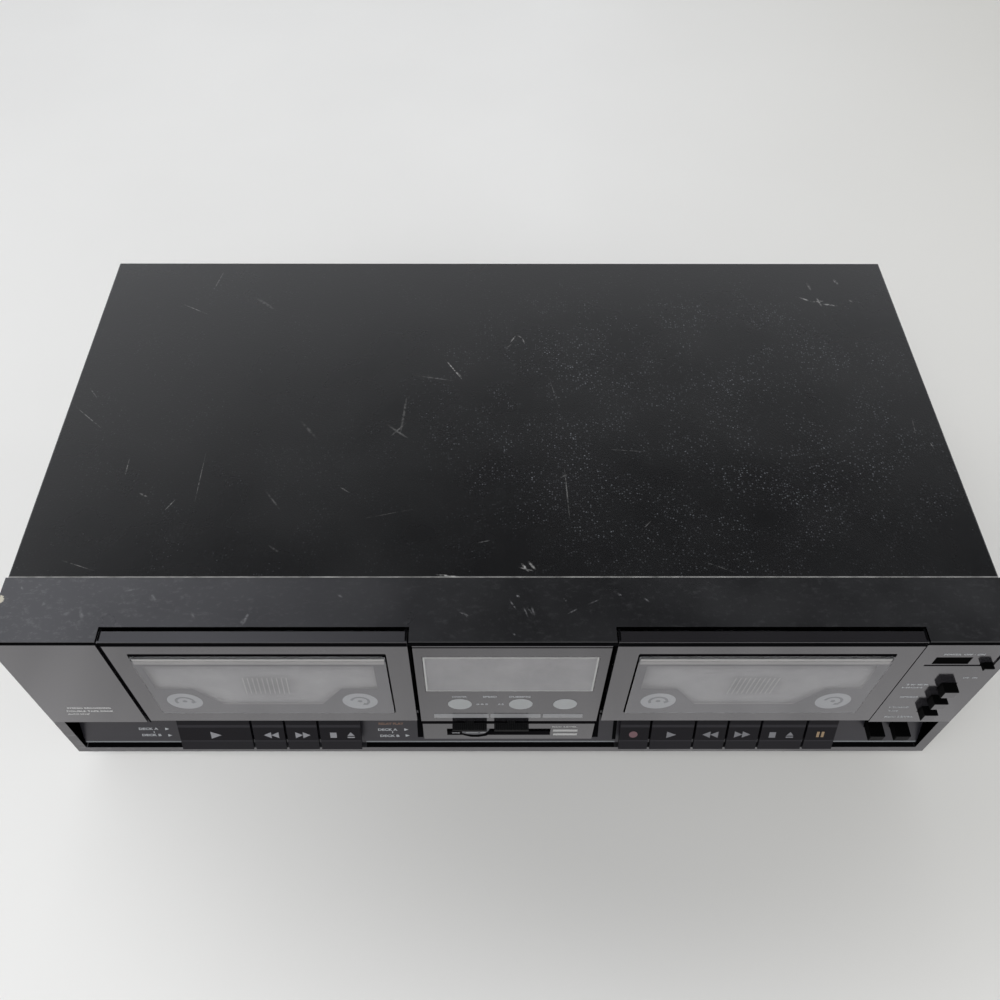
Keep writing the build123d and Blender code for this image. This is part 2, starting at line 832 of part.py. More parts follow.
def make_door_window(centre):
    """Clear raised window with a flange behind the door plate and a stepped top edge."""
    half = window_width / 2
    front = -door_proud - window_proud
    plate_back = door_plate - door_proud
    pane = block(centre - half, centre + half, front, plate_back, window_top, window_bottom)
    front_edges = pane.edges().filter_by(Axis.X).group_by(Axis.Y)[0]
    pane = chamfer(front_edges, window_edge_chamfer)
    pane -= block(centre - half - past, centre + half + past, front - past, front + window_step_deep,
                  window_step_top, window_step_bottom)
    pane += block(centre - half - window_flange, centre + half + window_flange, plate_back,
                  plate_back + window_flange_thick, window_top - window_top_gap - window_flange,
                  window_bottom + window_flange)
    return pane


def make_cassette_holder(centre):
    """Pocket on the back of the door: two side channels, a shelf and a front skin."""
    half = cassette_width / 2
    outer = half + holder_shelf
    holder = block(centre - outer, centre + outer, holder_front_depth, holder_back, holder_top,
                   holder_floor + holder_shelf)
    pocket_front = holder_front_depth + holder_front_skin
    holder -= block(centre - half, centre + half, pocket_front, pocket_front + cassette_thick,
                    holder_top - past, holder_floor)
    mouth = holder_mouth_width / 2
    holder -= block(centre - mouth, centre + mouth, holder_front_depth - past, holder_back + past,
                    holder_top - past, holder_floor)
    head = head_mouth_width / 2
    holder -= block(centre - head, centre + head, head_mouth_depth, holder_back + past,
                    holder_floor - past, holder_floor + holder_shelf + past)
    for side in (-1, 1):
        x0, x1 = sorted((centre + side * (outer - holder_tab_width), centre + side * outer))
        holder += block(x0, x1, door_plate - door_proud, holder_front_depth,
                        window_bottom + window_flange + holder_tab_gap, holder_floor + holder_shelf)
    return holder


def make_key(x0, x1):
    """Piano key: inclined face, ribbed arm and a hub that turns on the shaft."""
    skin = run_side(x0, x1, [(key_face(key_top), key_top), (key_face(key_bottom), key_bottom),
                             (key_face(key_bottom) + key_skin, key_bottom),
                             (key_face(key_top) + key_skin, key_top)])
    middle = (x0 + x1) / 2
    half = key_arm_width / 2
    arm = run_side(middle - half, middle + half,
                   [(key_face(key_arm_top) + key_skin / 2, key_arm_top),
                    (key_face(key_arm_bottom) + key_skin / 2, key_arm_bottom),
                    (key_shaft_depth, key_arm_bottom), (key_shaft_depth, key_arm_top)])
    key = skin + arm
    key += rod_side(middle - half - key_hub_side, middle + half + key_hub_side, key_shaft_depth,
                    key_shaft_drop, key_hub_radius)
    hub = half + key_hub_side + past
    key -= rod_side(middle - hub, middle + hub, key_shaft_depth, key_shaft_drop,
                    key_shaft_radius + running_gap)
    return key


def make_key_shafts():
    """One steel shaft through the ears of each mechanism frame."""
    return [rod_side(centre - mech_half_width - past, centre + mech_half_width + past, key_shaft_depth,
                     key_shaft_drop, key_shaft_radius) for centre in mech_centres.values()]


def make_level_slider(centre):
    """Flat slide knob with fine ribs across its top and a stem that enters the potentiometer."""
    half = knob_width / 2
    knob = block(centre - half, centre + half, -knob_front, -knob_back, knob_top, knob_top + knob_thick)
    pitch = knob_width / (rib_count + 1)
    for place in range(1, rib_count + 1):
        x = centre - half + place * pitch
        knob -= block(x - pitch / 4, x + pitch / 4, -knob_front - past, -knob_back - merge,
                      knob_top - past, knob_top + rib_deep)
    knob += block(centre - knob_stem_width / 2, centre + knob_stem_width / 2, -knob_back - merge,
                  pot_front + stem_in_pot, knob_top + knob_stem_inset,
                  knob_top + knob_thick - knob_stem_inset)
    return knob


def make_slider_pot():
    """Slide potentiometer housing with a slot for both stems."""
    left = meter_centre - pot_half_width
    right = meter_centre + pot_half_width
    pot = block(left, right, pot_front, display_board_depth, pot_top, pot_bottom)
    pot -= block(left + pot_end_wall, right - pot_end_wall, pot_front - past, pot_front + stem_in_pot + past,
                 knob_top - pot_slot_clearance, knob_top + knob_thick + pot_slot_clearance)
    return pot


def make_button(name):
    """Push button with a flange behind the wall and a square stem into its switch."""
    left, width, top, height, reach = buttons[name]
    flange_front = wall_back + button_flange_gap
    if name in recess_buttons():
        flange_front = recess_face(top - button_clearance) + recess_thick_level + button_flange_gap
    flange_back = flange_front + button_flange_thick
    button = block(left, left + width, -reach, flange_back, top, top + height)
    front_edges = button.edges().group_by(Axis.Y)[0]
    button = fillet(front_edges, button_edge)
    button += block(left - button_flange, left + width + button_flange, flange_front, flange_back,
                    top - button_flange, top + height + button_flange)
    half = button_stem_side / 2
    x = left + width / 2
    at_drop = top + height / 2
    button += block(x - half, x + half, flange_back - merge, switch_front + button_stem_in,
                    at_drop - half, at_drop + half)
    return button


def make_control_board():
    """Upright board with one switch housing behind each button."""
    pieces = [block(control_board_left, control_board_right, control_board_depth,
                    control_board_depth + board_thick, control_board_top, control_board_bottom)]
    hole = button_stem_side / 2 + button_clearance
    half = switch_side / 2
    for left, width, top, height, _ in buttons.values():
        x = left + width / 2
        at_drop = top + height / 2
        switch = block(x - half, x + half, switch_front, control_board_depth, at_drop - half, at_drop + half)
        switch -= block(x - hole, x + hole, switch_front - past, switch_front + switch_bore_deep,
                        at_drop - hole, at_drop + hole)
        pieces.append(switch)
    return pieces


def make_meter_display():
    """Board behind the meter window and the display block on it."""
    half = meter_width / 2 - meter_border - display_board_inset
    board = block(meter_centre - half, meter_centre + half, display_board_depth,
                  display_board_depth + board_thick, display_board_top, display_board_bottom)
    display = block(meter_centre - half, meter_centre + half, display_depth, display_board_depth,
                    meter_top + meter_border + display_gap, meter_bottom - meter_border - display_gap)
    return [board, display]


def make_mechanism_frame(centre, side):
    """Bent steel frame: plate, legs, feet, ears for the key shaft, bridge behind the flywheel."""
    back = mech_plate_depth + mech_plate_thick
    left = centre - mech_half_width
    right = centre + mech_half_width
    frame = block(left, right, mech_plate_depth, back, mech_top, mech_bottom)
    for x0, x1, ear in ((left, left + mech_leg_width, left), (right - mech_leg_width, right,
                                                            right - mech_plate_thick)):
        frame += block(x0, x1, mech_plate_depth, back, mech_bottom - past, pan_top_drop)
        frame += block(x0, x1, mech_plate_depth, mech_foot_back, pan_top_drop - mech_plate_thick,
                       pan_top_drop)
        frame += block(ear, ear + mech_plate_thick, mech_plate_depth, ear_back, ear_top, pan_top_drop)
    frame -= rod_side(left - past, right + past, key_shaft_depth, key_shaft_drop,
                      key_shaft_radius + running_gap)
    for offset in (-reel_half_spacing, reel_half_spacing):
        frame -= rod_back(centre + offset, reel_drop, reel_shaft_radius + running_gap,
                          mech_plate_depth - past, back + past)
    for offset in (-sled_pin_offset, sled_pin_offset):
        x = centre + offset
        frame += rod_back(x, sled_pin_drop, sled_seat_radius, sled_front + sled_thick + sled_seat_gap,
                          mech_plate_depth + merge)
        frame += rod_back(x, sled_pin_drop, sled_pin_radius, sled_pin_front, mech_plate_depth + merge)
    shaft_x = centre + capstan_offset
    posts = [(shaft_x - side * bridge_far_offset, capstan_drop),
             (shaft_x + side * bridge_near_offset, bridge_near_drop)]
    for x, at_drop in posts:
        frame += rod_back(x, at_drop, bridge_post_radius, back - merge, bridge_depth + merge)
    x0 = min(x for x, _ in posts) - bridge_margin
    x1 = max(x for x, _ in posts) + bridge_margin
    frame += block(x0, x1, bridge_depth, bridge_back, bridge_near_drop - bridge_margin,
                   capstan_drop + bridge_margin)
    frame -= rod_back(shaft_x, capstan_drop, capstan_hole_radius, mech_plate_depth - past,
                      bridge_back + past)
    return frame


def make_reel(x):
    """Splined spindle, turntable, shaft and the wheel that drives it."""
    reel = rod_back(x, reel_drop, spindle_radius - spindle_spline, spindle_front, reel_flange_back)
    spline = Box(2 * spindle_radius, reel_flange_front - spindle_front - spindle_spline, spline_wide)
    for turn in (0, 60, 120):
        middle = (spindle_front + spindle_spline + reel_flange_front) / 2
        reel += Pos(x, depth(middle), drop(reel_drop)) * Rot(0, turn, 0) * spline
    reel += rod_back(x, reel_drop, reel_flange_radius, reel_flange_front, reel_flange_back)
    reel += rod_back(x, reel_drop, reel_shaft_radius, reel_flange_back - merge, reel_gear_back)
    reel += rod_back(x, reel_drop, reel_gear_radius, reel_gear_front, reel_gear_back)
    return reel


def make_flywheel(x):
    """Flywheel with a sunk web and the capstan shaft through it."""
    wheel = rod_back(x, capstan_drop, flywheel_radius, flywheel_front, flywheel_back)
    wheel -= rod_back(x, capstan_drop, flywheel_radius - flywheel_rim,
                      flywheel_back - flywheel_web_sunk, flywheel_back + past)
    wheel += rod_back(x, capstan_drop, flywheel_hub, flywheel_back - flywheel_web_sunk - merge,
                      flywheel_back)
    wheel += rod_back(x, capstan_drop, capstan_radius, capstan_front, bridge_back)
    return wheel


def make_head_sled(centre):
    """Sliding plate with guide slots, the record/play head, the erase head and a roller pin."""
    back = sled_front + sled_thick
    plate = block(centre - sled_half_width, centre + sled_half_width, sled_front, back, sled_top,
                  sled_bottom)
    slot = sled_pin_radius + sled_slot_clearance
    for offset in (-sled_pin_offset, sled_pin_offset):
        x = centre + offset
        plate -= block(x - slot, x + slot, sled_front - past, back + past, sled_pin_drop - slot,
                       sled_pin_drop + sled_travel + slot)
    plate += rod_back(centre + capstan_offset, roller_drop, roller_pin_radius, roller_front,
                      sled_front + merge)
    head = block(centre - head_width / 2, centre + head_width / 2, head_front, sled_front, head_top,
                 head_bottom)
    head = fillet(head.edges().filter_by(Axis.Y).group_by(Axis.Z)[-1], head_corner)
    x = centre + erase_head_offset
    erase = block(x - erase_head_width / 2, x + erase_head_width / 2, head_front, sled_front,
                  head_top, head_bottom)
    return [plate, head, erase]


def make_pinch_roller(centre):
    """Rubber roller that the sled lifts towards the capstan."""
    x = centre + capstan_offset
    roller = rod_back(x, roller_drop, roller_radius, roller_front, roller_back)
    return roller - rod_back(x, roller_drop, roller_pin_radius + running_gap, roller_front - past,
                             roller_back + past)


def make_drive_motor():
    """Round motor can on the pan's tongue."""
    can = rod_back(motor_centre, capstan_drop, motor_radius, motor_front, motor_back)
    can = fillet(can.edges().group_by(Axis.Y)[-1], motor_edge)
    return can - rod_back(motor_centre, capstan_drop, motor_shaft_radius + running_gap,
                          motor_front - past, motor_front + motor_shaft_hole)


def make_motor_pulley():
    """Double pulley on the motor's shaft."""
    middle = (flywheel_front + flywheel_back) / 2
    pulley = rod_back(motor_centre, capstan_drop, pulley_radius, flywheel_front, flywheel_back)
    pulley += rod_back(motor_centre, capstan_drop, pulley_radius + pulley_rib, middle - pulley_rib_half,
                       middle + pulley_rib_half)
    return pulley + rod_back(motor_centre, capstan_drop, motor_shaft_radius, flywheel_front,
                             motor_front + motor_shaft_in)


def belt_outline(x, extra):
    """Flat outline round the motor pulley and a flywheel at x, a set distance outside both."""
    small = Pos(motor_centre, 0) * Circle(pulley_radius + extra)
    large = Pos(x, 0) * Circle(flywheel_radius + extra)
    return make_hull(small.edges() + large.edges())


def make_drive_belts():
    """Flat belts from the motor pulley to both flywheels, side by side on the pulley."""
    belts = []
    middle = (flywheel_front + flywheel_back) / 2
    starts = {"a": flywheel_front + pulley_rib_half, "b": middle + pulley_rib_half}
    for deck, centre in mech_centres.items():
        x = centre + capstan_offset
        ring = belt_outline(x, belt_gap + belt_thick) - belt_outline(x, belt_gap)
        plane = Plane(origin=(0, depth(starts[deck]), drop(capstan_drop)), x_dir=(1, 0, 0), z_dir=(0, 1, 0))
        belts.append(extrude(plane * ring, belt_width))
    return belts


def make_main_circuit_board():
    """Main board on its pillars with capacitors and a heat sink."""
    top = pan_top_drop - pillar_height - board_thick
    pieces = [block(board_left, board_right, board_front_depth, board_back_depth, top, top + board_thick)]
    for place in range(capacitor_count):
        size = place % 3
        height = capacitor_height + size * capacitor_height_step
        pieces.append(rod_up(board_left + capacitor_left + place * capacitor_pitch,
                             board_front_depth + capacitor_row,
                             capacitor_radius + size * capacitor_radius_step, top - height, top))
    for place in range(chip_count):
        x = board_left + chip_left + place * chip_pitch
        at_depth = board_back_depth - chip_rear_inset
        pieces.append(block(x, x + chip_length, at_depth, at_depth + chip_width, top - chip_height, top))
    sink_start = board_back_depth - sink_front
    sink_end = board_back_depth - sink_back
    sink = block(board_right - sink_left, board_right - sink_right, sink_start, sink_end,
                 top - sink_height, top)
    for place in range(fin_count):
        x = board_right - sink_left + fin_left + place * fin_pitch
        sink -= block(x, x + fin_space, sink_start - past, sink_end - sink_web, top - sink_height - past,
                      top - sink_foot)
    pieces.append(sink)
    return pieces


def make_power_transformer():
    """Laminated core on the pan with a bobbin through it."""
    x0 = transformer_centre - transformer_width / 2
    x1 = transformer_centre + transformer_width / 2
    d0 = transformer_depth - transformer_length / 2
    d1 = transformer_depth + transformer_length / 2
    top = pan_top_drop - transformer_height
    sixth = transformer_length / 6
    bobbin = block(x0 + transformer_limb, x1 - transformer_limb, d0 - bobbin_overhang,
                   d1 + bobbin_overhang, top + transformer_limb, pan_top_drop - transformer_limb)
    core = block(x0, x1, d0 + sixth, d1 - sixth, top, pan_top_drop)
    core -= block(x0 + transformer_limb, x1 - transformer_limb, d0 - past, d1 + past,
                  top + transformer_limb, pan_top_drop - transformer_limb)
    return [core, bobbin]


def make_rear_connectors():
    """Jack block with four jacks, and the bush the power cord leaves through."""
    reach = jack_pitch / 2 + jack_plate_margin
    inner = reach - jack_plate_overlap - fit_gap
    plate_back = rear_outer + jack_plate_thick
    jacks = block(jack_centre - reach, jack_centre + reach, rear_outer, plate_back,
                  jack_drop - reach, jack_drop + reach)
    jacks += block(jack_centre - inner, jack_centre + inner, rear_inner - jack_body_depth,
                   rear_outer + merge,
                   jack_drop - inner, jack_drop + inner)
    tip = plate_back + jack_barrel_length
    for x in (jack_centre - jack_pitch / 2, jack_centre + jack_pitch / 2):
        for at_drop in (jack_drop - jack_pitch / 2, jack_drop + jack_pitch / 2):
            jacks += rod_back(x, at_drop, jack_barrel_radius, plate_back - merge, tip)
            jacks -= rod_back(x, at_drop, jack_bore_radius, tip - jack_bore_deep, tip + past)
    start = rear_inner - gland_flange_thick
    gland = rod_back(gland_side, gland_drop, gland_flange_radius, rear_outer,
                     rear_outer + gland_flange_thick)
    gland += rod_back(gland_side, gland_drop, gland_neck_radius, start, rear_outer + merge)
    gland += rod_back(gland_side, gland_drop, gland_flange_radius, start, rear_inner)
    gland -= rod_back(gland_side, gland_drop, gland_bore_radius, rear_inner - gland_bore_past,
                      rear_outer + gland_bore_past)
    return [jacks, gland]


def make_feet():
    """Four round feet, each with a sunk hole for its screw."""
    high = case_height - pan_lift
    low = case_height + foot_height
    feet = []
    for x in (-foot_side, foot_side):
        for at_depth in (foot_front_depth, foot_rear_depth):
            foot = rod_up(x, at_depth, foot_radius, high, low)
            foot = chamfer(foot.edges().group_by(Axis.Z)[0], foot_edge)
            foot -= rod_up(x, at_depth, foot_bore_radius, low - foot_bore_deep, low + past)
            foot -= rod_up(x, at_depth, foot_screw_radius + running_gap, high - past, low)
            feet.append(foot)
    return feet


def make_foot_screws():
    """Pan-head screws through the feet into the pan."""
    seat = case_height + foot_height - foot_bore_deep
    screws = []
    for x in (-foot_side, foot_side):
        for at_depth in (foot_front_depth, foot_rear_depth):
            screw = rod_up(x, at_depth, foot_screw_head, seat, seat + foot_screw_head_thick)
            screw += rod_up(x, at_depth, foot_screw_radius, pan_top_drop - foot_screw_tip, seat + merge)
            screws.append(screw)
    return screws


def make_case_screws():
    """Identical screws in the cover's sides, its rear lip and the foot of the rear panel."""
    screws = []
    face = cover_side
    for side in (-1, 1):
        for at_depth in side_screw_depths:
            h0, h1 = sorted((side * face, side * (face + case_screw_head_thick)))
            s0, s1 = sorted((side * (face + merge), side * (face - sheet - pan_thick - case_screw_tip)))
            screws.append(rod_side(h0, h1, at_depth, side_screw_drop, case_screw_head)
                          + rod_side(s0, s1, at_depth, side_screw_drop, case_screw_radius))
    rear = [(x, rear_low_drop, rear_outer) for x in rear_low_screws]
    rear += [(x, rear_high_drop, case_depth) for x in rear_high_screws]
    for x, at_drop, face_depth in rear:
        tip = rear_inner - pan_thick - case_screw_tip
        screws.append(rod_back(x, at_drop, case_screw_head, face_depth, face_depth + case_screw_head_thick)
                      + rod_back(x, at_drop, case_screw_radius, tip, face_depth + merge))
    return screws


def save(name, shape):
    """Write one sub-part to its own file."""
    if isinstance(shape, list):
        shape = Compound(label=name, children=[piece.solid() if len(piece.solids()) == 1 else piece
                                               for piece in shape])
    export_step(shape, f"parts/{name}.step")
    print(name, len(shape.solids()))


os.makedirs("parts", exist_ok=True)
save("top_cover", make_top_cover())
save("chassis_pan", make_chassis_pan())
save("rear_panel", make_rear_panel())
save("front_fascia", make_front_fascia())
save("left_front_panel", make_left_front_panel())
save("centre_panel", make_centre_panel())
save("right_front_panel", make_right_front_panel())
save("indicator_lens", make_indicator_lens())
save("meter_window", make_meter_window())
save("slider_panel", make_slider_panel())
save("key_recess_panel", make_key_recess_panel())
save("feet", make_feet())
save("foot_screws", make_foot_screws())
save("case_screws", make_case_screws())
for deck, centre in mech_centres.items():
    save(f"door_{deck}_frame", make_door_frame(centre))
    save(f"door_{deck}_window", make_door_window(centre))
    save(f"door_{deck}_holder", make_cassette_holder(centre))
    for name, x0, x1 in keys[deck]:
        save(f"key_{deck}_{name}", make_key(x0, x1))
    save(f"mechanism_frame_{deck}", make_mechanism_frame(centre, motor_side[deck]))
    save(f"supply_reel_{deck}", make_reel(centre - reel_half_spacing))
    save(f"takeup_reel_{deck}", make_reel(centre + reel_half_spacing))
    save(f"flywheel_{deck}", make_flywheel(centre + capstan_offset))
    save(f"head_sled_{deck}", make_head_sled(centre))
    save(f"pinch_roller_{deck}", make_pinch_roller(centre))
save("key_shafts", make_key_shafts())
save("level_slider_left", make_level_slider(knob_left_centre))
save("level_slider_right", make_level_slider(knob_right_centre))
save("slider_pot", make_slider_pot())
for name in buttons:
    save(name, make_button(name))
save("control_board", make_control_board())
save("meter_display", make_meter_display())
save("drive_motor", make_drive_motor())
save("motor_pulley", make_motor_pulley())
save("drive_belts", make_drive_belts())
save("main_circuit_board", make_main_circuit_board())
save("power_transformer", make_power_transformer())
save("rear_connectors", make_rear_connectors())
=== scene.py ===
# %% [markdown]
# This lesson dresses a double cassette deck: a black steel cover, a moulded front with two glossy
# tape doors, ten piano keys, a few small buttons and two knobs. The solid model is loaded as a
# fixed frame, and every finish and printed mark is added round it here. The scene is in metres,
# and the drawings of the front are in millimetres.

# %% Frame
import math

import bmesh
import bpy
from mathutils import Matrix, Vector


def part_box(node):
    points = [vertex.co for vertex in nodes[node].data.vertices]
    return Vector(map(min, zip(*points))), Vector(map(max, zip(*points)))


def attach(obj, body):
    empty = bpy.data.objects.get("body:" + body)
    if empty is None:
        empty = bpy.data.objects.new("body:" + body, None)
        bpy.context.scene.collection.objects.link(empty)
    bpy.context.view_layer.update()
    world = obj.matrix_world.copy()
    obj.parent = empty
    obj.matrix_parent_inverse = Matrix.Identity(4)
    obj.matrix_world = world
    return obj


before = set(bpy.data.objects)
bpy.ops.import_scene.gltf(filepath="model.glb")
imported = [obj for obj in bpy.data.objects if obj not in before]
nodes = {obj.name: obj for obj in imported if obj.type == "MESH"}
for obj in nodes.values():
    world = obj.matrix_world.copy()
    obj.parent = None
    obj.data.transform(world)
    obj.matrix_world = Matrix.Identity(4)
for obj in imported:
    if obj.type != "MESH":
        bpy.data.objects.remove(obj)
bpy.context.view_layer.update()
scene = bpy.context.scene

# %% [markdown]
# The drawings of the front are in millimetres: x from the middle to the right, depth from the front
# plane backwards, and drop from the top edge downwards. One function turns them into the frame.

# %% Millimetres of the front drawing
FRONT_Y = -121.65
TOP_Z = 125.0
MM = 0.001


def place(x, depth, drop):
    """A point of the front drawing, in metres."""
    return Vector((x, FRONT_Y + depth, TOP_Z - drop)) * MM


print("front top middle", place(0, 0, 0))

# %% [markdown]
# The photograph was taken from above, close in front of the machine, so lines that go down the
# front run strongly together. The lens length, the place and the three angles come from fitting
# the known corners of the case. The small shift is the crop of the picture.

# %% Camera
LENS, CROP_SHIFT = 34.0, 0.013
CAMERA_POINT = (-8.3, -187.0, -346.2)
CAMERA_ANGLES = (53.08, 0.22, 0.18)  # down, to the left and roll, in degrees
camera_data = bpy.data.cameras.new("camera")
camera = bpy.data.objects.new("camera", camera_data)
scene.collection.objects.link(camera)
camera_data.lens = LENS
camera_data.shift_x = CROP_SHIFT
camera_data.clip_start = 0.01
down, left_turn, roll = (math.radians(angle) for angle in CAMERA_ANGLES)
camera.matrix_world = (Matrix.Translation(place(*CAMERA_POINT))
                       @ Matrix.Rotation(-left_turn, 4, "Z")
                       @ Matrix.Rotation(math.pi / 2 - down, 4, "X")
                       @ Matrix.Rotation(roll, 4, "Z"))
scene.camera = camera
scene.view_settings.view_transform = "Standard"
print("camera at", [round(v, 3) for v in camera.location])

# %% [markdown]
# A material here is a small tree of nodes. Two helpers keep the cells short: one turns a colour
# written as on a paint chart into the linear values that a renderer counts with, and one adds a
# node together with its settings and the links that go into it.

# %% Helpers for materials


def paint(code, alpha=1.0):
    """A colour written as six hex digits, as linear red, green, blue and alpha."""
    values = [int(code[i:i + 2], 16) / 255 for i in (0, 2, 4)]
    return [v / 12.92 if v < 0.04045 else ((v + 0.055) / 1.055) ** 2.4 for v in values] + [alpha]


def add(tree, kind, inputs=None, **settings):
    """Add one node: settings are its own properties, inputs are socket values or links."""
    node = tree.nodes.new(kind)
    for name, value in settings.items():
        setattr(node, name, value)
    for name, value in (inputs or {}).items():
        if isinstance(value, bpy.types.Node):
            value = value.outputs[0]
        if isinstance(value, bpy.types.NodeSocket):
            tree.links.new(value, node.inputs[name])
        else:
            node.inputs[name].default_value = value
    return node


def begin(name, **values):
    """A new material with its shader: values are numbers that hold over the whole surface."""
    material = bpy.data.materials.new(name)
    material.use_nodes = True
    tree = material.node_tree
    shader = tree.nodes["Principled BSDF"]
    for key, value in values.items():
        shader.inputs[key.replace("_", " ")].default_value = value
    where = add(tree, "ShaderNodeTexCoord").outputs["Object"]
    return material, tree, shader, where


def per_metre(millimetres):
    """The scale of a pattern whose one grain has this size."""
    return 1 / (millimetres * MM)


print("paint 808080 is", [round(v, 3) for v in paint("808080")])

# %% [markdown]
# The deck stands on a plain pale cloth under soft daylight. A real photograph of a black shiny
# thing shows mostly what it mirrors, so the floor keeps nearly its full brightness for mirrored
# rays, with faint folds that run to the back and a bright place at the left. It stays an ordinary
# surface with a soft shadow for the camera, and a painted shadow makes its colour greyer round the
# deck and to the right. From underneath it is left clear, so that the feet and the base can be
# looked at.

# %% Floor
REACH, SQUARES = 3.0, 24
MIRRORED_SHARE = 0.93
floor_mesh = bpy.data.meshes.new("floor")
steps = [REACH * (2 * i / SQUARES - 1) for i in range(SQUARES + 1)]
row = SQUARES + 1
floor_mesh.from_pydata([(x, y, 0.0) for y in steps for x in steps], [],
                       [(r * row + c, r * row + c + 1, (r + 1) * row + c + 1, (r + 1) * row + c)
                        for r in range(SQUARES) for c in range(SQUARES)])
floor = bpy.data.objects.new("floor", floor_mesh)
scene.collection.objects.link(floor)
material, tree, shader, where = begin("floor_cotton_cloth_woven", Roughness=0.9)
across = add(tree, "ShaderNodeSeparateXYZ", {"Vector": where}).outputs["X"]
tone = add(tree, "ShaderNodeTexNoise", {"Vector": where, "Scale": per_metre(240), "Detail": 3.0})
tones = add(tree, "ShaderNodeMixRGB", {"Fac": tone, "Color1": paint("e7e6e3"), "Color2": paint("f2f1ee")})
# Painted shadow: the cloth's colour is greyed round the front of the deck and towards the right.
painted_shadow_near = add(tree, "ShaderNodeMapping", {"Vector": where, "Location": (0.09, -0.14, 0.0),
                                       "Scale": (0.34, 0.17, 1.0)}, vector_type="TEXTURE")
painted_shadow_near = add(tree, "ShaderNodeTexGradient", {"Vector": painted_shadow_near}, gradient_type="SPHERICAL")
painted_shadow_near = add(tree, "ShaderNodeMapRange", {"Value": painted_shadow_near.outputs["Fac"], "From Max": 0.8},
           interpolation_type="SMOOTHSTEP")
tones = add(tree, "ShaderNodeMixRGB", {"Fac": painted_shadow_near, "Color1": tones, "Color2": paint("c6c5c2")})
painted_shade_right = add(tree, "ShaderNodeMapRange", {"Value": across, "From Min": 0.05, "From Max": 0.5,
                                          "To Max": 0.8})
tones = add(tree, "ShaderNodeMixRGB", {"Fac": painted_shade_right, "Color1": tones, "Color2": paint("d6d4cd")})
tree.links.new(tones.outputs[0], shader.inputs["Base Color"])
rays = add(tree, "ShaderNodeLightPath")
folds = add(tree, "ShaderNodeMapping", {"Vector": where, "Scale": (1.0, 0.12, 1.0)})
folds = add(tree, "ShaderNodeTexNoise", {"Vector": folds, "Scale": per_metre(34), "Detail": 2.0})
folds = add(tree, "ShaderNodeMapRange", {"Value": folds, "From Min": 0.3, "From Max": 0.7, "To Min": 0.92,
                                         "To Max": 1.08})
sunny = add(tree, "ShaderNodeMapRange", {"Value": across, "From Min": -0.2, "From Max": -0.25, "To Min": 1.0,
                                         "To Max": 1.18}, interpolation_type="SMOOTHSTEP")
folds = add(tree, "ShaderNodeMath", {0: folds, 1: sunny}, operation="MULTIPLY")
glow = add(tree, "ShaderNodeEmission", {"Color": paint("f7f5f7"), "Strength": folds})
mirrored = add(tree, "ShaderNodeMath", {0: rays.outputs["Is Glossy Ray"], 1: MIRRORED_SHARE},
               operation="MULTIPLY")
seen = add(tree, "ShaderNodeMixShader", {0: mirrored, 1: shader, 2: glow})
under = add(tree, "ShaderNodeNewGeometry").outputs["Backfacing"]
clear = add(tree, "ShaderNodeBsdfTransparent")
both = add(tree, "ShaderNodeMixShader", {0: under, 1: seen, 2: clear})
tree.links.new(both.outputs[0], tree.nodes["Material Output"].inputs["Surface"])
floor_mesh.materials.append(material)
print("floor", len(floor_mesh.polygons), "faces")

# %% [markdown]
# The room is a soft dome, bright low down and dim overhead, and a little brighter to the left. The
# black cover mirrors it, which is why its far edge looks lighter than its middle. A wide lamp
# above the front gives the plain even light, and the cover mirrors that one away from the camera.

# %% Light
world = bpy.data.worlds.new("room")
scene.world = world
world.use_nodes = True
tree = world.node_tree
facing = add(tree, "ShaderNodeTexCoord").outputs["Generated"]
height = add(tree, "ShaderNodeVectorMath", {0: facing, 1: (0.14, 0.0, 1.0)}, operation="DOT_PRODUCT")
lift = add(tree, "ShaderNodeMapRange", {"Value": height.outputs["Value"], "From Min": 0.53, "From Max": 0.79,
                                        "To Min": 1.6, "To Max": 0.05}, interpolation_type="SMOOTHSTEP")
rays = add(tree, "ShaderNodeLightPath")
room = add(tree, "ShaderNodeBackground", {"Color": paint("f2f4f8"), "Strength": lift})
pale = add(tree, "ShaderNodeBackground", {"Color": paint("e4e2de"), "Strength": 1.0})
sky = add(tree, "ShaderNodeMixShader", {0: rays.outputs["Is Camera Ray"], 1: room, 2: pale})
tree.links.new(sky.outputs[0], tree.nodes["World Output"].inputs["Surface"])

lamp_data = bpy.data.lights.new("overhead", "AREA")
lamp_data.shape = "RECTANGLE"
lamp_data.size, lamp_data.size_y = 1.4, 1.0
lamp_data.energy = 19.5
lamp = bpy.data.objects.new("overhead", lamp_data)
lamp.location = (-0.3, -0.95, 1.75)
lamp.rotation_euler = (0.48, -0.12, 0.0)
scene.collection.objects.link(lamp)
print("lamp", lamp_data.energy, "watt")
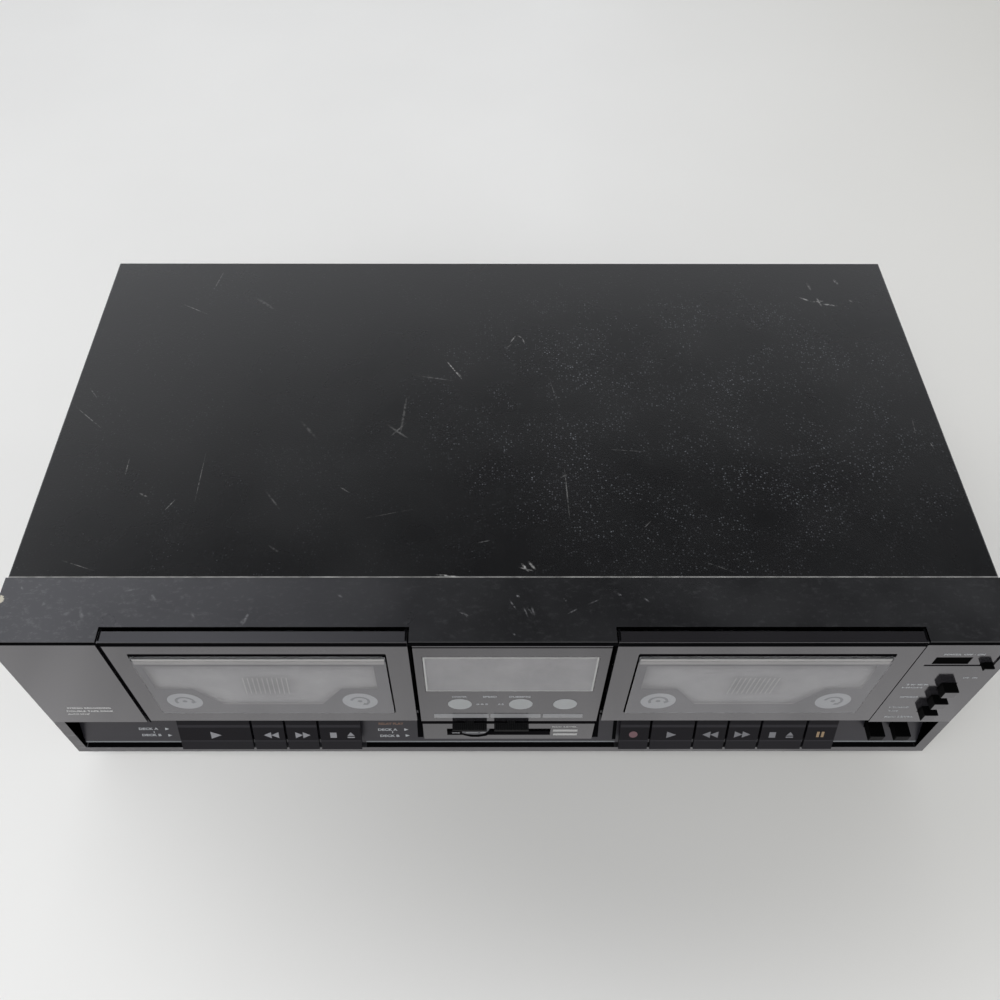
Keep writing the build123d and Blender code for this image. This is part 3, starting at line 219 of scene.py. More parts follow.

# %% [markdown]
# The cover is pressed sheet steel with a baked black paint. The paint has a fine leathery texture
# that spreads its shine, and years on a shelf have left pale scratches and a haze of dust specks. A
# bright line along the front edge is partly paint rubbed off to the bare steel and partly a painted
# highlight. Each scratch is a long thin spindle: a Mapping node shrinks it to a ball and a
# spherical gradient fills the ball, so that it fades at both ends.

# %% Scratches on the cover


def spindles(tree, where, scratches):
    """The strength inside any of these long thin marks, fading to nothing at their ends."""
    marks = None
    for x0, back0, x1, back1, width, strength in scratches:
        length = math.hypot(x1 - x0, back1 - back0)
        spindle = add(tree, "ShaderNodeMapping", {
            "Vector": where, "Location": place((x0 + x1) / 2, (back0 + back1) / 2, 0),
            "Rotation": (0, 0, math.atan2(back1 - back0, x1 - x0)),
            "Scale": (length / 2 * MM, width / 2 * MM, 0.01)}, vector_type="TEXTURE")
        ball = add(tree, "ShaderNodeTexGradient", {"Vector": spindle}, gradient_type="SPHERICAL")
        mark = add(tree, "ShaderNodeMath", {0: ball.outputs["Fac"], 1: strength}, operation="MULTIPLY")
        if marks is not None:
            mark = add(tree, "ShaderNodeMath", {0: marks, 1: mark}, operation="MAXIMUM")
        marks = mark
    return marks


def broken_up(tree, where):
    """A noise that leaves gaps in a scratch, as a blunt corner does that skips over the grain."""
    broken = add(tree, "ShaderNodeTexNoise", {"Vector": where, "Scale": per_metre(1.6), "Detail": 2.0})
    return add(tree, "ShaderNodeMapRange", {"Value": broken, "From Min": 0.35, "From Max": 0.62})


scratches = [  # x and depth of both ends in mm, width in mm, strength
    (-154.0, 234.5, -157.8, 215.5, 0.6, 0.40), (-172.4, 206.2, -156.0, 197.4, 0.5, 0.50),
    (-133.9, 211.9, -120.4, 200.6, 2.2, 0.14), (-28.9, 164.2, -19.1, 148.5, 0.8, 1.00),
    (-45.4, 152.7, -22.9, 148.5, 0.6, 0.35), (-25.1, 157.7, -19.9, 151.3, 0.8, 0.60),
    (-211.2, 131.3, -193.3, 115.6, 0.6, 0.35), (-176.6, 98.6, -176.4, 87.1, 0.6, 0.45),
    (-141.1, 103.0, -141.0, 70.3, 0.5, 0.40), (-47.2, 138.8, -49.3, 111.8, 1.6, 0.20),
    (-56.5, 119.5, -44.8, 109.9, 1.4, 0.28), (-54.1, 111.2, -46.3, 120.8, 1.2, 0.25),
    (-167.6, 77.1, -163.0, 74.8, 1.0, 0.60), (-154.0, 66.9, -149.9, 73.7, 0.7, 0.40),
    (-75.4, 80.6, -70.5, 77.2, 0.8, 0.40), (-29.9, 32.8, -17.7, 31.3, 1.2, 0.90),
    (7.5, 38.7, 10.9, 34.1, 1.5, 0.90), (10.6, 39.8, 13.9, 35.1, 1.5, 0.80),
    (6.1, 36.6, 13.1, 34.6, 1.0, 0.60), (-11.8, 49.3, -5.1, 50.9, 0.5, 0.40),
    (4.9, 176.0, 8.2, 182.1, 0.9, 0.50), (8.2, 182.5, 11.3, 179.8, 0.9, 0.50),
    (11.3, 179.8, 12.7, 175.3, 0.9, 0.40), (2.2, 171.6, 5.9, 175.3, 0.8, 0.40),
    (170.2, 225.4, 171.3, 217.1, 1.6, 0.40), (185.6, 227.1, 187.3, 222.1, 1.8, 0.60),
    (163.1, 212.1, 170.0, 208.1, 1.4, 0.60), (170.0, 208.1, 176.7, 208.9, 1.4, 0.70),
    (175.1, 206.5, 183.4, 204.9, 1.6, 0.80), (173.0, 212.1, 174.5, 204.1, 1.4, 0.60),
    (190.0, 209.7, 192.3, 208.1, 1.5, 0.40), (29.1, 93.8, 30.1, 60.7, 0.8, 0.30),
    (26.8, 86.0, 30.7, 88.4, 1.2, 0.30), (48.7, 103.6, 70.5, 101.8, 0.5, 0.30),
    (201.5, 123.5, 200.1, 111.2, 0.6, 0.30), (205.7, 108.7, 206.9, 103.0, 0.7, 0.40),
    (23.4, 154.9, 28.8, 128.7, 0.6, 0.18), (-98.8, 122.1, -88.6, 109.2, 2.0, 0.12),
    (-104.2, 48.2, -98.4, 44.0, 1.2, 0.20), (-109.9, 78.9, -100.4, 66.3, 1.2, 0.15),
    (-66.9, 61.8, -37.8, 68.6, 0.5, 0.15), (-194.0, 40.3, -177.3, 34.6, 0.6, 0.30),
    (-206.9, 143.6, -201.0, 136.0, 0.7, 0.35), (85.9, 40.3, 103.1, 32.5, 0.5, 0.20),
    (61.1, 55.2, 67.2, 61.8, 0.6, 0.25),
]
material, tree, shader, where = begin("sheet_steel_baked_black_paint", IOR=1.5)
marks = spindles(tree, where, scratches)
scratched = add(tree, "ShaderNodeMath", {0: marks, 1: broken_up(tree, where)}, operation="MULTIPLY")
print("scratches", len(scratches))

# %% [markdown]
# The dust is a Voronoi pattern: only the middle of each cell is kept, so it gives round specks,
# each cell's own random value makes most of them faint, and a slow noise gathers them in drifts.
# They lie thickest over the right half of the cover.

# %% Dust, haze and the rubbed edge with its painted highlight
GRAIN, SPECK_SPACING = 0.8, 1.15
COVER_FRONT = FRONT_Y + 31.3
DUST_MIDDLE = place(95.0, 126.65, 0.0)
cells = add(tree, "ShaderNodeTexVoronoi", {"Vector": where, "Scale": per_metre(SPECK_SPACING)})
speck = add(tree, "ShaderNodeMapRange", {"Value": cells, "From Min": 0.42, "From Max": 0.12})
size = add(tree, "ShaderNodeSeparateXYZ", {"Vector": cells.outputs["Color"]}).outputs["X"]
size = add(tree, "ShaderNodeMath", {0: size, 1: 3.0}, operation="POWER")
speck = add(tree, "ShaderNodeMath", {0: speck, 1: size}, operation="MULTIPLY")
drift = add(tree, "ShaderNodeTexNoise", {"Vector": where, "Scale": per_metre(20), "Detail": 7.0,
                                         "Roughness": 0.6})
drift = add(tree, "ShaderNodeMapRange", {"Value": drift, "From Min": 0.4, "From Max": 0.62})
patch = add(tree, "ShaderNodeMapping", {"Vector": where, "Location": DUST_MIDDLE,
                                        "Scale": (0.15, 0.105, 0.3)}, vector_type="TEXTURE")
patch = add(tree, "ShaderNodeTexGradient", {"Vector": patch}, gradient_type="SPHERICAL")
patch = add(tree, "ShaderNodeMapRange", {"Value": patch.outputs["Fac"], "From Max": 0.35, "To Min": 0.15,
                                         "To Max": 0.8})
dust = add(tree, "ShaderNodeMath", {0: speck, 1: drift}, operation="MULTIPLY")
dust = add(tree, "ShaderNodeMath", {0: dust, 1: patch}, operation="MULTIPLY")
axes = add(tree, "ShaderNodeSeparateXYZ", {"Vector": where})
from_edge = add(tree, "ShaderNodeMath", {0: axes.outputs["Y"], 1: COVER_FRONT * MM}, operation="SUBTRACT")
# The front edge is paler: paint rubbed off to the steel, and a painted highlight.
rubbed_edge_and_highlight = add(tree, "ShaderNodeMapRange", {"Value": from_edge, "From Min": 0.0007, "From Max": 0.0002})
uneven = add(tree, "ShaderNodeTexNoise", {"Vector": where, "Scale": per_metre(9), "Detail": 3.0})
uneven = add(tree, "ShaderNodeMapRange", {"Value": uneven, "From Min": 0.3, "From Max": 0.7, "To Min": 0.25})
rubbed_edge_and_highlight = add(tree, "ShaderNodeMath", {0: rubbed_edge_and_highlight, 1: uneven}, operation="MULTIPLY")
haze = add(tree, "ShaderNodeTexNoise", {"Vector": where, "Scale": per_metre(48), "Detail": 5.0})
ground = add(tree, "ShaderNodeMixRGB", {"Fac": haze, "Color1": paint("0a0a0b"), "Color2": paint("111112")})
dusty = add(tree, "ShaderNodeMixRGB", {"Fac": dust, "Color1": ground, "Color2": paint("7c7f84")})
worn = add(tree, "ShaderNodeMixRGB", {"Fac": scratched, "Color1": dusty, "Color2": paint("b9b8b6")})
worn = add(tree, "ShaderNodeMixRGB", {"Fac": rubbed_edge_and_highlight, "Color1": worn, "Color2": paint("a9a8a5")})
tree.links.new(worn.outputs[0], shader.inputs["Base Color"])
shine = add(tree, "ShaderNodeMapRange", {"Value": haze, "From Min": 0.3, "From Max": 0.7,
                                         "To Min": 0.25, "To Max": 0.33})
tree.links.new(shine.outputs[0], shader.inputs["Roughness"])
skin = add(tree, "ShaderNodeTexNoise", {"Vector": where, "Scale": per_metre(GRAIN), "Detail": 2.0})
bump = add(tree, "ShaderNodeBump", {"Height": skin, "Strength": 0.6, "Distance": 0.00006})
tree.links.new(bump.outputs[0], shader.inputs["Normal"])
finish = {"cover_paint": material}
print("cover paint", len(tree.nodes), "nodes")

# %% [markdown]
# All the black plastic parts were injection moulded, and differ in the polish of their mould. A
# noise bump of the grain's real size is the skin of the mould, and a slow noise makes the colour
# and the shine a little uneven, as handling does. One recipe serves them all with other numbers.

# %% Moulded plastics


def moulded(name, colour, lighter, roughness, grain, relief, ior=1.53, uneven=0.06, **values):
    """Plastic from a mould: grain is the width of its skin's bumps and relief their height, in mm."""
    material, tree, shader, where = begin(name, IOR=ior, **values)
    slow = add(tree, "ShaderNodeTexNoise", {"Vector": where, "Scale": per_metre(30), "Detail": 5.0})
    tone = add(tree, "ShaderNodeMixRGB", {"Fac": slow, "Color1": paint(colour), "Color2": paint(lighter)})
    tree.links.new(tone.outputs[0], shader.inputs["Base Color"])
    shine = add(tree, "ShaderNodeMapRange", {"Value": slow, "From Min": 0.3, "From Max": 0.7,
                                             "To Min": roughness - uneven, "To Max": roughness + uneven})
    tree.links.new(shine.outputs[0], shader.inputs["Roughness"])
    skin = add(tree, "ShaderNodeTexNoise", {"Vector": where, "Scale": per_metre(grain), "Detail": 2.0})
    bump = add(tree, "ShaderNodeBump", {"Height": skin, "Strength": 0.5, "Distance": relief * MM})
    tree.links.new(bump.outputs[0], shader.inputs["Normal"])
    return material


def blend(material, share, colour):
    """Mix one more colour into a finish, by a share that a node gives."""
    tree = material.node_tree
    base = tree.nodes["Principled BSDF"].inputs["Base Color"]
    mix = add(tree, "ShaderNodeMixRGB", {"Fac": share, "Color1": base.links[0].from_socket,
                                         "Color2": paint(colour)})
    tree.links.new(mix.outputs[0], base)


def within(tree, value, low, high, soft=0.1):
    """One between these two values of a link, nothing outside, and a soft step in mm at both ends."""
    rise = add(tree, "ShaderNodeMapRange", {"Value": value, "From Min": (low - soft) * MM,
                                            "From Max": (low + soft) * MM})
    fall = add(tree, "ShaderNodeMapRange", {"Value": value, "From Min": (high + soft) * MM,
                                            "From Max": (high - soft) * MM})
    return add(tree, "ShaderNodeMath", {0: rise, 1: fall}, operation="MULTIPLY")


def facing_side(tree, axis, limit):
    """One where the surface looks along this axis past the limit: a negative limit is the other way."""
    normal = add(tree, "ShaderNodeTexCoord").outputs["Normal"]
    part = add(tree, "ShaderNodeSeparateXYZ", {"Vector": normal}).outputs[axis]
    test = "GREATER_THAN" if limit > 0 else "LESS_THAN"
    return add(tree, "ShaderNodeMath", {0: part, 1: limit}, operation=test)


def painted_sheen_on_top(material, colour, x0, x1):
    """Lighten the faces that look up, a painted sheen, from nothing at x0 to the whole colour at x1, in mm.
    """
    tree = material.node_tree
    where = add(tree, "ShaderNodeTexCoord").outputs["Object"]
    across = add(tree, "ShaderNodeSeparateXYZ", {"Vector": where}).outputs["X"]
    share = add(tree, "ShaderNodeMapRange", {"Value": across, "From Min": x0 * MM, "From Max": x1 * MM})
    upper = add(tree, "ShaderNodeMath", {0: share, 1: facing_side(tree, "Z", 0.7)}, operation="MULTIPLY")
    blend(material, upper, colour)


finish["panel_gloss"] = moulded("polystyrene_polished_front", "1c1b1d", "222123", 0.11, 26, 0.008, 1.68, 0.02)
# The upward faces of the polished front are painted paler towards the left, a painted sheen.
painted_sheen_on_top(finish["panel_gloss"], "4a4a4d", 20, -130)
finish["recess_plastic"] = moulded("abs_moulded_recess", "18171b", "1e1d22", 0.32, 0.6, 0.02, 1.5,
                                   Specular_IOR_Level=0.42)
finish["knob_plastic"] = moulded("abs_moulded_knob", "020202", "060606", 0.5, 0.5, 0.03, 1.4,
                                 Specular_IOR_Level=0.05)
finish["foot_plastic"] = moulded("polyethylene_moulded_foot", "1a1a1a", "242424", 0.5, 0.8, 0.05, 1.51)
finish["holder_plastic"] = moulded("abs_moulded_tape_holder", "131314", "19191b", 0.38, 0.6, 0.03)
finish["reel_plastic"] = moulded("acetal_moulded_reel", "202022", "2b2b2e", 0.35, 0.5, 0.02, 1.48)
finish["connector_plastic"] = moulded("nylon_moulded_socket", "141415", "1d1d1f", 0.4, 0.5, 0.03)
finish["belt_rubber"] = moulded("rubber_ground_black", "121212", "1b1a19", 0.75, 0.4, 0.05, 1.52)
finish["rear_paint"] = moulded("sheet_steel_rolled_paint_rear", "17171a", "1d1d20", 0.45, 0.9, 0.05, 1.5)
finish["dark_lens"] = moulded("acrylic_moulded_dark_lens", "020202", "040404", 0.3, 12, 0.005, 1.1, 0.05,
                              Specular_IOR_Level=0.02)
print("plastics", len(finish) - 1)

# %% [markdown]
# The front moulding has two looks. Its top and rim are satin and scuffed by hands, more to the
# left, with fine scratches and three chips at the left end, and their upward faces are painted
# paler to the left as a painted sheen. The wall behind the glossy panels and the inner side walls
# are painted black and dead matt, a painted shade for the black lines that the gaps show. The
# shader tells them apart by depth and by the way they face: whatever looks forward from more than
# 1.5 mm behind the front plane is wall.

# %% Front moulding
WALL_FROM, INNER_SIDES = 1.5, 212
material = moulded("abs_moulded_satin_front", "121213", "19191b", 0.33, 0.7, 0.02)
tree = material.node_tree
shader = tree.nodes["Principled BSDF"]
where = add(tree, "ShaderNodeTexCoord").outputs["Object"]
axes = add(tree, "ShaderNodeSeparateXYZ", {"Vector": where})
# Painted shade: the walls behind the front and the inner side walls are painted black and matt.
behind = add(tree, "ShaderNodeMath", {0: axes.outputs["Y"], 1: (FRONT_Y + WALL_FROM) * MM},
             operation="GREATER_THAN")
painted_gap_shade = add(tree, "ShaderNodeMath", {0: behind, 1: facing_side(tree, "Y", -0.9)}, operation="MULTIPLY")
for looks in (facing_side(tree, "X", 0.9), facing_side(tree, "X", -0.9)):
    inner = within(tree, axes.outputs["X"], -INNER_SIDES, INNER_SIDES)
    inner = add(tree, "ShaderNodeMath", {0: inner, 1: looks}, operation="MULTIPLY")
    painted_gap_shade = add(tree, "ShaderNodeMath", {0: painted_gap_shade, 1: inner}, operation="MAXIMUM")
scuff = add(tree, "ShaderNodeMapping", {"Vector": where, "Scale": (0.6, 1.0, 1.0)})
scuff = add(tree, "ShaderNodeTexNoise", {"Vector": scuff, "Scale": per_metre(1.8), "Detail": 8.0,
                                         "Roughness": 0.7})
scuff = add(tree, "ShaderNodeMapRange", {"Value": scuff, "From Min": 0.53, "From Max": 0.76, "To Max": 0.5})
leftward = add(tree, "ShaderNodeMapRange", {"Value": axes.outputs["X"], "From Min": -80 * MM,
                                            "From Max": -215 * MM, "To Min": 0.2, "To Max": 1.0})
scuff = add(tree, "ShaderNodeMath", {0: scuff, 1: leftward}, operation="MULTIPLY")
front_scratches = [  # x and depth of both ends in mm, width in mm, strength
    (-132.1, 14.5, -129.5, 10.3, 1.2, 0.35), (-109.6, 7.2, -107.2, 15.0, 1.6, 0.6),
    (-110.4, 8.6, -108.8, 10.6, 2.2, 0.5), (-179.0, 16.1, -176.4, 9.8, 2.0, 0.45),
    (-207.2, 27.0, -205.6, 24.8, 1.2, 0.6), (-162.8, 24.2, -155.7, 25.9, 1.2, 0.4),
    (-150.6, 22.9, -148.0, 19.6, 1.6, 0.6), (-194.6, 20.4, -195.2, 16.1, 1.8, 0.4),
    (-186.5, 12.0, -182.0, 14.5, 2.4, 0.25), (-71.5, 23.1, -68.5, 20.9, 1.2, 0.4),
    (-19.2, 14.2, -14.9, 12.2, 1.0, 0.7), (-17.4, 14.2, -15.6, 11.4, 0.9, 0.5),
    (2.0, 20.4, 5.2, 15.0, 0.9, 0.6), (8.0, 16.6, 10.0, 11.4, 1.0, 0.45),
    (9.4, 16.9, 12.0, 12.6, 0.9, 0.4), (11.2, 17.4, 12.8, 12.0, 1.2, 0.35),
    (26.4, 13.2, 30.9, 15.7, 1.0, 0.5), (25.1, 20.9, 26.5, 19.3, 1.2, 0.5),
    (35.0, 17.7, 41.8, 20.9, 0.8, 0.4), (48.3, 23.3, 50.1, 22.1, 1.4, 0.6),
    (59.1, 21.5, 61.7, 18.8, 1.0, 0.4), (2.7, 4.6, 4.6, 2.9, 1.0, 0.6),
    (5.0, 22.5, 6.6, 21.3, 1.4, 0.9), (-41.6, 6.9, -41.2, 2.6, 1.0, 0.6),
]
scored = add(tree, "ShaderNodeMath", {0: spindles(tree, where, front_scratches), 1: broken_up(tree, where)},
             operation="MULTIPLY")
# The upward faces are painted paler to the left, a painted sheen.
painted_sheen_on_top(material, "47474a", -10, -190)
old = shader.inputs["Base Color"].links[0].from_socket
tone = add(tree, "ShaderNodeMixRGB", {"Fac": scuff, "Color1": old, "Color2": paint("7c7c7e")})
tone = add(tree, "ShaderNodeMixRGB", {"Fac": scored, "Color1": tone, "Color2": paint("8c8c8e")})
chips = None
for x, back, size in ((-214.6, 20.2, 3.4), (-214.4, 9.4, 3.2), (-214.8, 1.6, 3.4)):
    chip = add(tree, "ShaderNodeMapping", {"Vector": where, "Location": place(x, back, 0),
                                           "Scale": (size * MM, size * MM, size * MM)}, vector_type="TEXTURE")
    chip = add(tree, "ShaderNodeTexGradient", {"Vector": chip}, gradient_type="SPHERICAL")
    chips = chip if chips is None else add(tree, "ShaderNodeMath", {0: chips, 1: chip}, operation="MAXIMUM")
flake = add(tree, "ShaderNodeTexNoise", {"Vector": where, "Scale": per_metre(0.9), "Detail": 2.0})
flaked = add(tree, "ShaderNodeMath", {0: chips, 1: flake}, operation="MULTIPLY")
flaked = add(tree, "ShaderNodeMapRange", {"Value": flaked, "From Min": 0.16, "From Max": 0.22})
tone = add(tree, "ShaderNodeMixRGB", {"Fac": flaked, "Color1": tone, "Color2": paint("b9b4a4")})
tone = add(tree, "ShaderNodeMixRGB", {"Fac": painted_gap_shade, "Color1": tone, "Color2": paint("020202")})
tree.links.new(tone.outputs[0], shader.inputs["Base Color"])
shiny = add(tree, "ShaderNodeMath", {0: 0.5, 1: painted_gap_shade}, operation="SUBTRACT", use_clamp=True)
tree.links.new(shiny.outputs[0], shader.inputs["Specular IOR Level"])
finish["fascia_plastic"] = material
print("front moulding", len(tree.nodes), "nodes")

# %% [markdown]
# The metal parts are seen through the doors, behind and underneath. Zinc plating has faint
# crystals with slightly different shine, ground bars have fine rings across their length, and
# turned brass is the small motor pulley. A metal's colour is the colour of its shine.

# %% Metals


def metal(name, colour, lighter, roughness, grain, stretch=(1, 1, 1), **values):
    """A bare or plated metal: grain is the size of its crystals or tool marks in mm."""
    material, tree, shader, where = begin(name, Metallic=1.0, **values)
    drawn = add(tree, "ShaderNodeMapping", {"Vector": where, "Scale": stretch})
    crystal = add(tree, "ShaderNodeTexVoronoi", {"Vector": drawn, "Scale": per_metre(grain)})
    slow = add(tree, "ShaderNodeTexNoise", {"Vector": drawn, "Scale": per_metre(grain * 4), "Detail": 4.0})
    tone = add(tree, "ShaderNodeMixRGB", {"Fac": crystal, "Color1": paint(colour), "Color2": paint(lighter)})
    tree.links.new(tone.outputs[0], shader.inputs["Base Color"])
    shine = add(tree, "ShaderNodeMapRange", {"Value": slow, "From Min": 0.3, "From Max": 0.7,
                                             "To Min": roughness - 0.07, "To Max": roughness + 0.07})
    tree.links.new(shine.outputs[0], shader.inputs["Roughness"])
    return material


finish["plated_steel"] = metal("steel_zinc_plated_pressed", "a9adb1", "c0c3c5", 0.36, 5)
finish["shaft_steel"] = metal("steel_ground_bar", "b4b4b3", "cfcecb", 0.25, 0.6, (0.1, 1, 1))
finish["screw_steel"] = metal("steel_zinc_plated_screw", "a4a6a6", "bfc0be", 0.32, 1.5)
finish["black_screw"] = metal("steel_blackened_screw", "2a2a2c", "3a3a3c", 0.4, 1.5)
finish["brass_part"] = metal("brass_turned", "c9a556", "dcbd72", 0.25, 0.7)
finish["transformer_iron"] = metal("iron_sheets_stacked_varnished", "3c3a38", "56524d", 0.5, 0.6,
                                   (1, 0.05, 0.05))
print("finishes so far", len(finish))

# %% [markdown]
# The circuit boards are pressed layers of paper and resin, brown at the core, with a woven look
# from the paper. A fine noise stretched one way over a slow one gives that.

# %% Circuit board
material, tree, shader, where = begin("phenolic_paper_board_pressed", IOR=1.55, Roughness=0.5)
drawn = add(tree, "ShaderNodeMapping", {"Vector": where, "Scale": (0.25, 1, 1)})
fibre = add(tree, "ShaderNodeTexNoise", {"Vector": drawn, "Scale": per_metre(0.9), "Detail": 5.0})
tone = add(tree, "ShaderNodeMixRGB", {"Fac": fibre, "Color1": paint("6d4a26"), "Color2": paint("94703f")})
tree.links.new(tone.outputs[0], shader.inputs["Base Color"])
bump = add(tree, "ShaderNodeBump", {"Height": fibre, "Strength": 0.3, "Distance": 0.00005})
tree.links.new(bump.outputs[0], shader.inputs["Normal"])
finish["board_laminate"] = material
print(material.name)

# %% [markdown]
# The windows are moulded polycarbonate. Both faces of a clear pane mirror the cloth in front, so the
# clear part of a door looks lighter than black plastic with its one face. The pane lets light
# through for shadows, or else the inside would be black. Fine wear hazes the shine a little. The
# cut ends of a pane are painted black where they face outward, a thin dark line of painted shade.

# %% Windows


def pane(name, colour, lighter, roughness):
    """See-through plastic: the darker of two tints, the lighter one, and the haze of its faces."""
    material, tree, shader, where = begin(name, IOR=1.585, Transmission_Weight=1.0)
    slow = add(tree, "ShaderNodeTexNoise", {"Vector": where, "Scale": per_metre(22), "Detail": 4.0})
    tint = add(tree, "ShaderNodeMixRGB", {"Fac": slow, "Color1": paint(colour), "Color2": paint(lighter)})
    tree.links.new(tint.outputs[0], shader.inputs["Base Color"])
    shine = add(tree, "ShaderNodeMapRange", {"Value": slow, "From Min": 0.3, "From Max": 0.7,
                                             "To Min": roughness, "To Max": roughness + 0.03})
    tree.links.new(shine.outputs[0], shader.inputs["Roughness"])
    wave = add(tree, "ShaderNodeTexNoise", {"Vector": where, "Scale": per_metre(35), "Detail": 1.0})
    bump = add(tree, "ShaderNodeBump", {"Height": wave, "Strength": 0.3, "Distance": 0.000008})
    tree.links.new(bump.outputs[0], shader.inputs["Normal"])
    rays = add(tree, "ShaderNodeLightPath")
    through = add(tree, "ShaderNodeBsdfTransparent", {"Color": tint})
    # Painted shade: the ends of the pane, seen from outside, are drawn dark as the gap beside them.
    right_side, left_side = (facing_side(tree, "X", limit) for limit in (0.7, -0.7))
    painted_edge_shade = add(tree, "ShaderNodeMath", {0: right_side, 1: left_side}, operation="MAXIMUM")
    inside = add(tree, "ShaderNodeNewGeometry").outputs["Backfacing"]
    outside = add(tree, "ShaderNodeMath", {0: 1.0, 1: inside}, operation="SUBTRACT")
    painted_edge_shade = add(tree, "ShaderNodeMath", {0: painted_edge_shade, 1: outside}, operation="MULTIPLY")
    dark = add(tree, "ShaderNodeBsdfDiffuse", {"Color": paint("050505")})
    trimmed = add(tree, "ShaderNodeMixShader", {0: painted_edge_shade, 1: shader, 2: dark})
    mixed = add(tree, "ShaderNodeMixShader", {0: rays.outputs["Is Shadow Ray"], 1: trimmed, 2: through})
    tree.links.new(mixed.outputs[0], tree.nodes["Material Output"].inputs["Surface"])
    return material


finish["clear_window"] = pane("polycarbonate_moulded_clear_window", "e8e8e9", "f2f2f2", 0.0)
finish["smoked_window"] = pane("polycarbonate_moulded_grey_window", "d6d6d7", "e0e0e1", 0.0)
print("windows", finish["clear_window"].name, finish["smoked_window"].name)

# %% [markdown]
# A piano key is black plastic, painted paler near its top edge, in a thin line at a crease near its
# foot and in a faint band below that crease, as painted highlights. Height alone tells these bands
# apart, because the keys stand in one row. A push button has a polished end that mirrors the room
# and dull sides painted darker as painted shade. The two level knobs have a ribbed top for the
# fingertip, drawn as a fine row of pale stripes that are painted highlights on the ribs.

# %% Keys, buttons and ribbed knobs
KEY_PAINTED_HIGHLIGHTS = ((90.7, 89.0, 0.2), (100.0, 99.4, 0.22), (106.0, 99.7, 0.07))  # low and high drop, share
material = moulded("abs_moulded_piano_key", "070609", "0d0c10", 0.4, 0.6, 0.03, 1.45, Specular_IOR_Level=0.11)
tree = material.node_tree
where = add(tree, "ShaderNodeTexCoord").outputs["Object"]
upward = add(tree, "ShaderNodeSeparateXYZ", {"Vector": where}).outputs["Z"]
# Painted highlights: pale bands across the keys at these heights.
for low_drop, high_drop, share in KEY_PAINTED_HIGHLIGHTS:
    key_highlight_band = within(tree, upward, TOP_Z - low_drop, TOP_Z - high_drop, 0.15)
    blend(material, add(tree, "ShaderNodeMath", {0: key_highlight_band, 1: share}, operation="MULTIPLY"), "4a494d")
finish["key_plastic"] = material

push_button = moulded("abs_moulded_polished_push_button", "151416", "1b1a1c", 0.45, 12, 0.005, 1.6)
tree = push_button.node_tree
shader = tree.nodes["Principled BSDF"]
polished = facing_side(tree, "Y", -0.9)
# Painted shade: the sides are coloured darker than the polished end.
painted_shade_sides = add(tree, "ShaderNodeMath", {0: 1.0, 1: polished}, operation="SUBTRACT")
blend(push_button, painted_shade_sides, "030303")
for socket, polished_value, dull_value in (("Roughness", 0.12, 0.5), ("Specular IOR Level", 0.5, 0.04)):
    level = add(tree, "ShaderNodeMapRange", {"Value": polished, "To Min": dull_value,
                                             "To Max": polished_value})
    tree.links.new(level.outputs[0], shader.inputs[socket])

RIB = 0.9
ribbed_knob = moulded("abs_moulded_ribbed_knob", "020202", "060606", 0.5, 0.5, 0.03, 1.4,
                      Specular_IOR_Level=0.05)
tree = ribbed_knob.node_tree
where = add(tree, "ShaderNodeTexCoord").outputs["Object"]
wave_scale = per_metre(RIB) * math.pi / 10  # a wave repeats after pi / 10 of its own units
# Painted highlights: pale stripes along the ribs on the knob's top.
painted_rib_highlights = add(tree, "ShaderNodeTexWave", {"Vector": where, "Scale": wave_scale, "Distortion": 0.4,
                                       "Detail": 1.0})
top = add(tree, "ShaderNodeMath", {0: painted_rib_highlights.outputs["Fac"], 1: facing_side(tree, "Z", 0.7)},
          operation="MULTIPLY")
blend(ribbed_knob, top, "1c1c1d")
print("keys", material.name, "buttons", push_button.name, "knobs", ribbed_knob.name)

# %% [markdown]
# Each solid already knows the slot of its finish, because its own plain material is named after
# the slot. The plain one is swapped for the finished one, and the solid itself isn't touched. The
# two mechanism frames get a darker phosphated steel, so that the tape wells stay dark inside. The
# hood and the centre panel get darker copies of the front's polish with less shine, as painted
# shade, and the buttons and knobs differ in their finish, though all are of one plastic.

# %% Finishes onto the solids
# Painted shade: darker copies of the front's polish for the hood and the centre panel.
shaded_hood_gloss = moulded("polystyrene_polished_hood", "121113", "171618", 0.11, 26, 0.008, 1.54, 0.02)
shaded_centre_gloss = moulded("polystyrene_polished_centre_panel", "171618", "1c1b1d", 0.11, 26, 0.008, 1.63, 0.02)
own_finish = {"mechanism_frame": metal("steel_phosphated_mechanism", "2b2c2e", "38393b", 0.5, 3),
              "level_slider": ribbed_knob, "slider_panel": shaded_hood_gloss, "centre_panel": shaded_centre_gloss,
              "switch_button": push_button, "power_button": push_button}
for name, piece in sorted(nodes.items()):
    for held in piece.material_slots:
        slot_name = piece.data.materials[0].name
        own = [look for start, look in own_finish.items() if name.startswith(start)]
        held.link = "OBJECT"
        held.material = own[0] if own else finish[slot_name]
print("dressed", len(nodes), "solids in", len(finish), "finishes")

# %% [markdown]
# Printed marks are a film of ink a few hundredths of a millimetre thick. Each one is drawn flat as
# a filled outline, in millimetres of the front drawing, given its thickness and laid on the face
# that carries it. A face may slope, as those of the keys do, so its axes lean with it. On the
# outermost faces the film is sunk, so that almost none of it stands proud.

# %% Printed marks
INK = 0.05
SUNK = -0.046


def face(depth, drop=0.0, tilt=0.0):
    """Axes of a front face that passes through this depth and drop and leans back by tilt degrees."""
    lean = math.radians(tilt)
    axes = Matrix(((1, 0, 0), (0, math.tan(lean), 1), (0, -math.cos(lean), math.sin(lean)))).transposed()
    axes = (axes * MM).to_4x4()
    axes.translation = place(0, depth + drop * math.tan(lean), 0)
    return axes


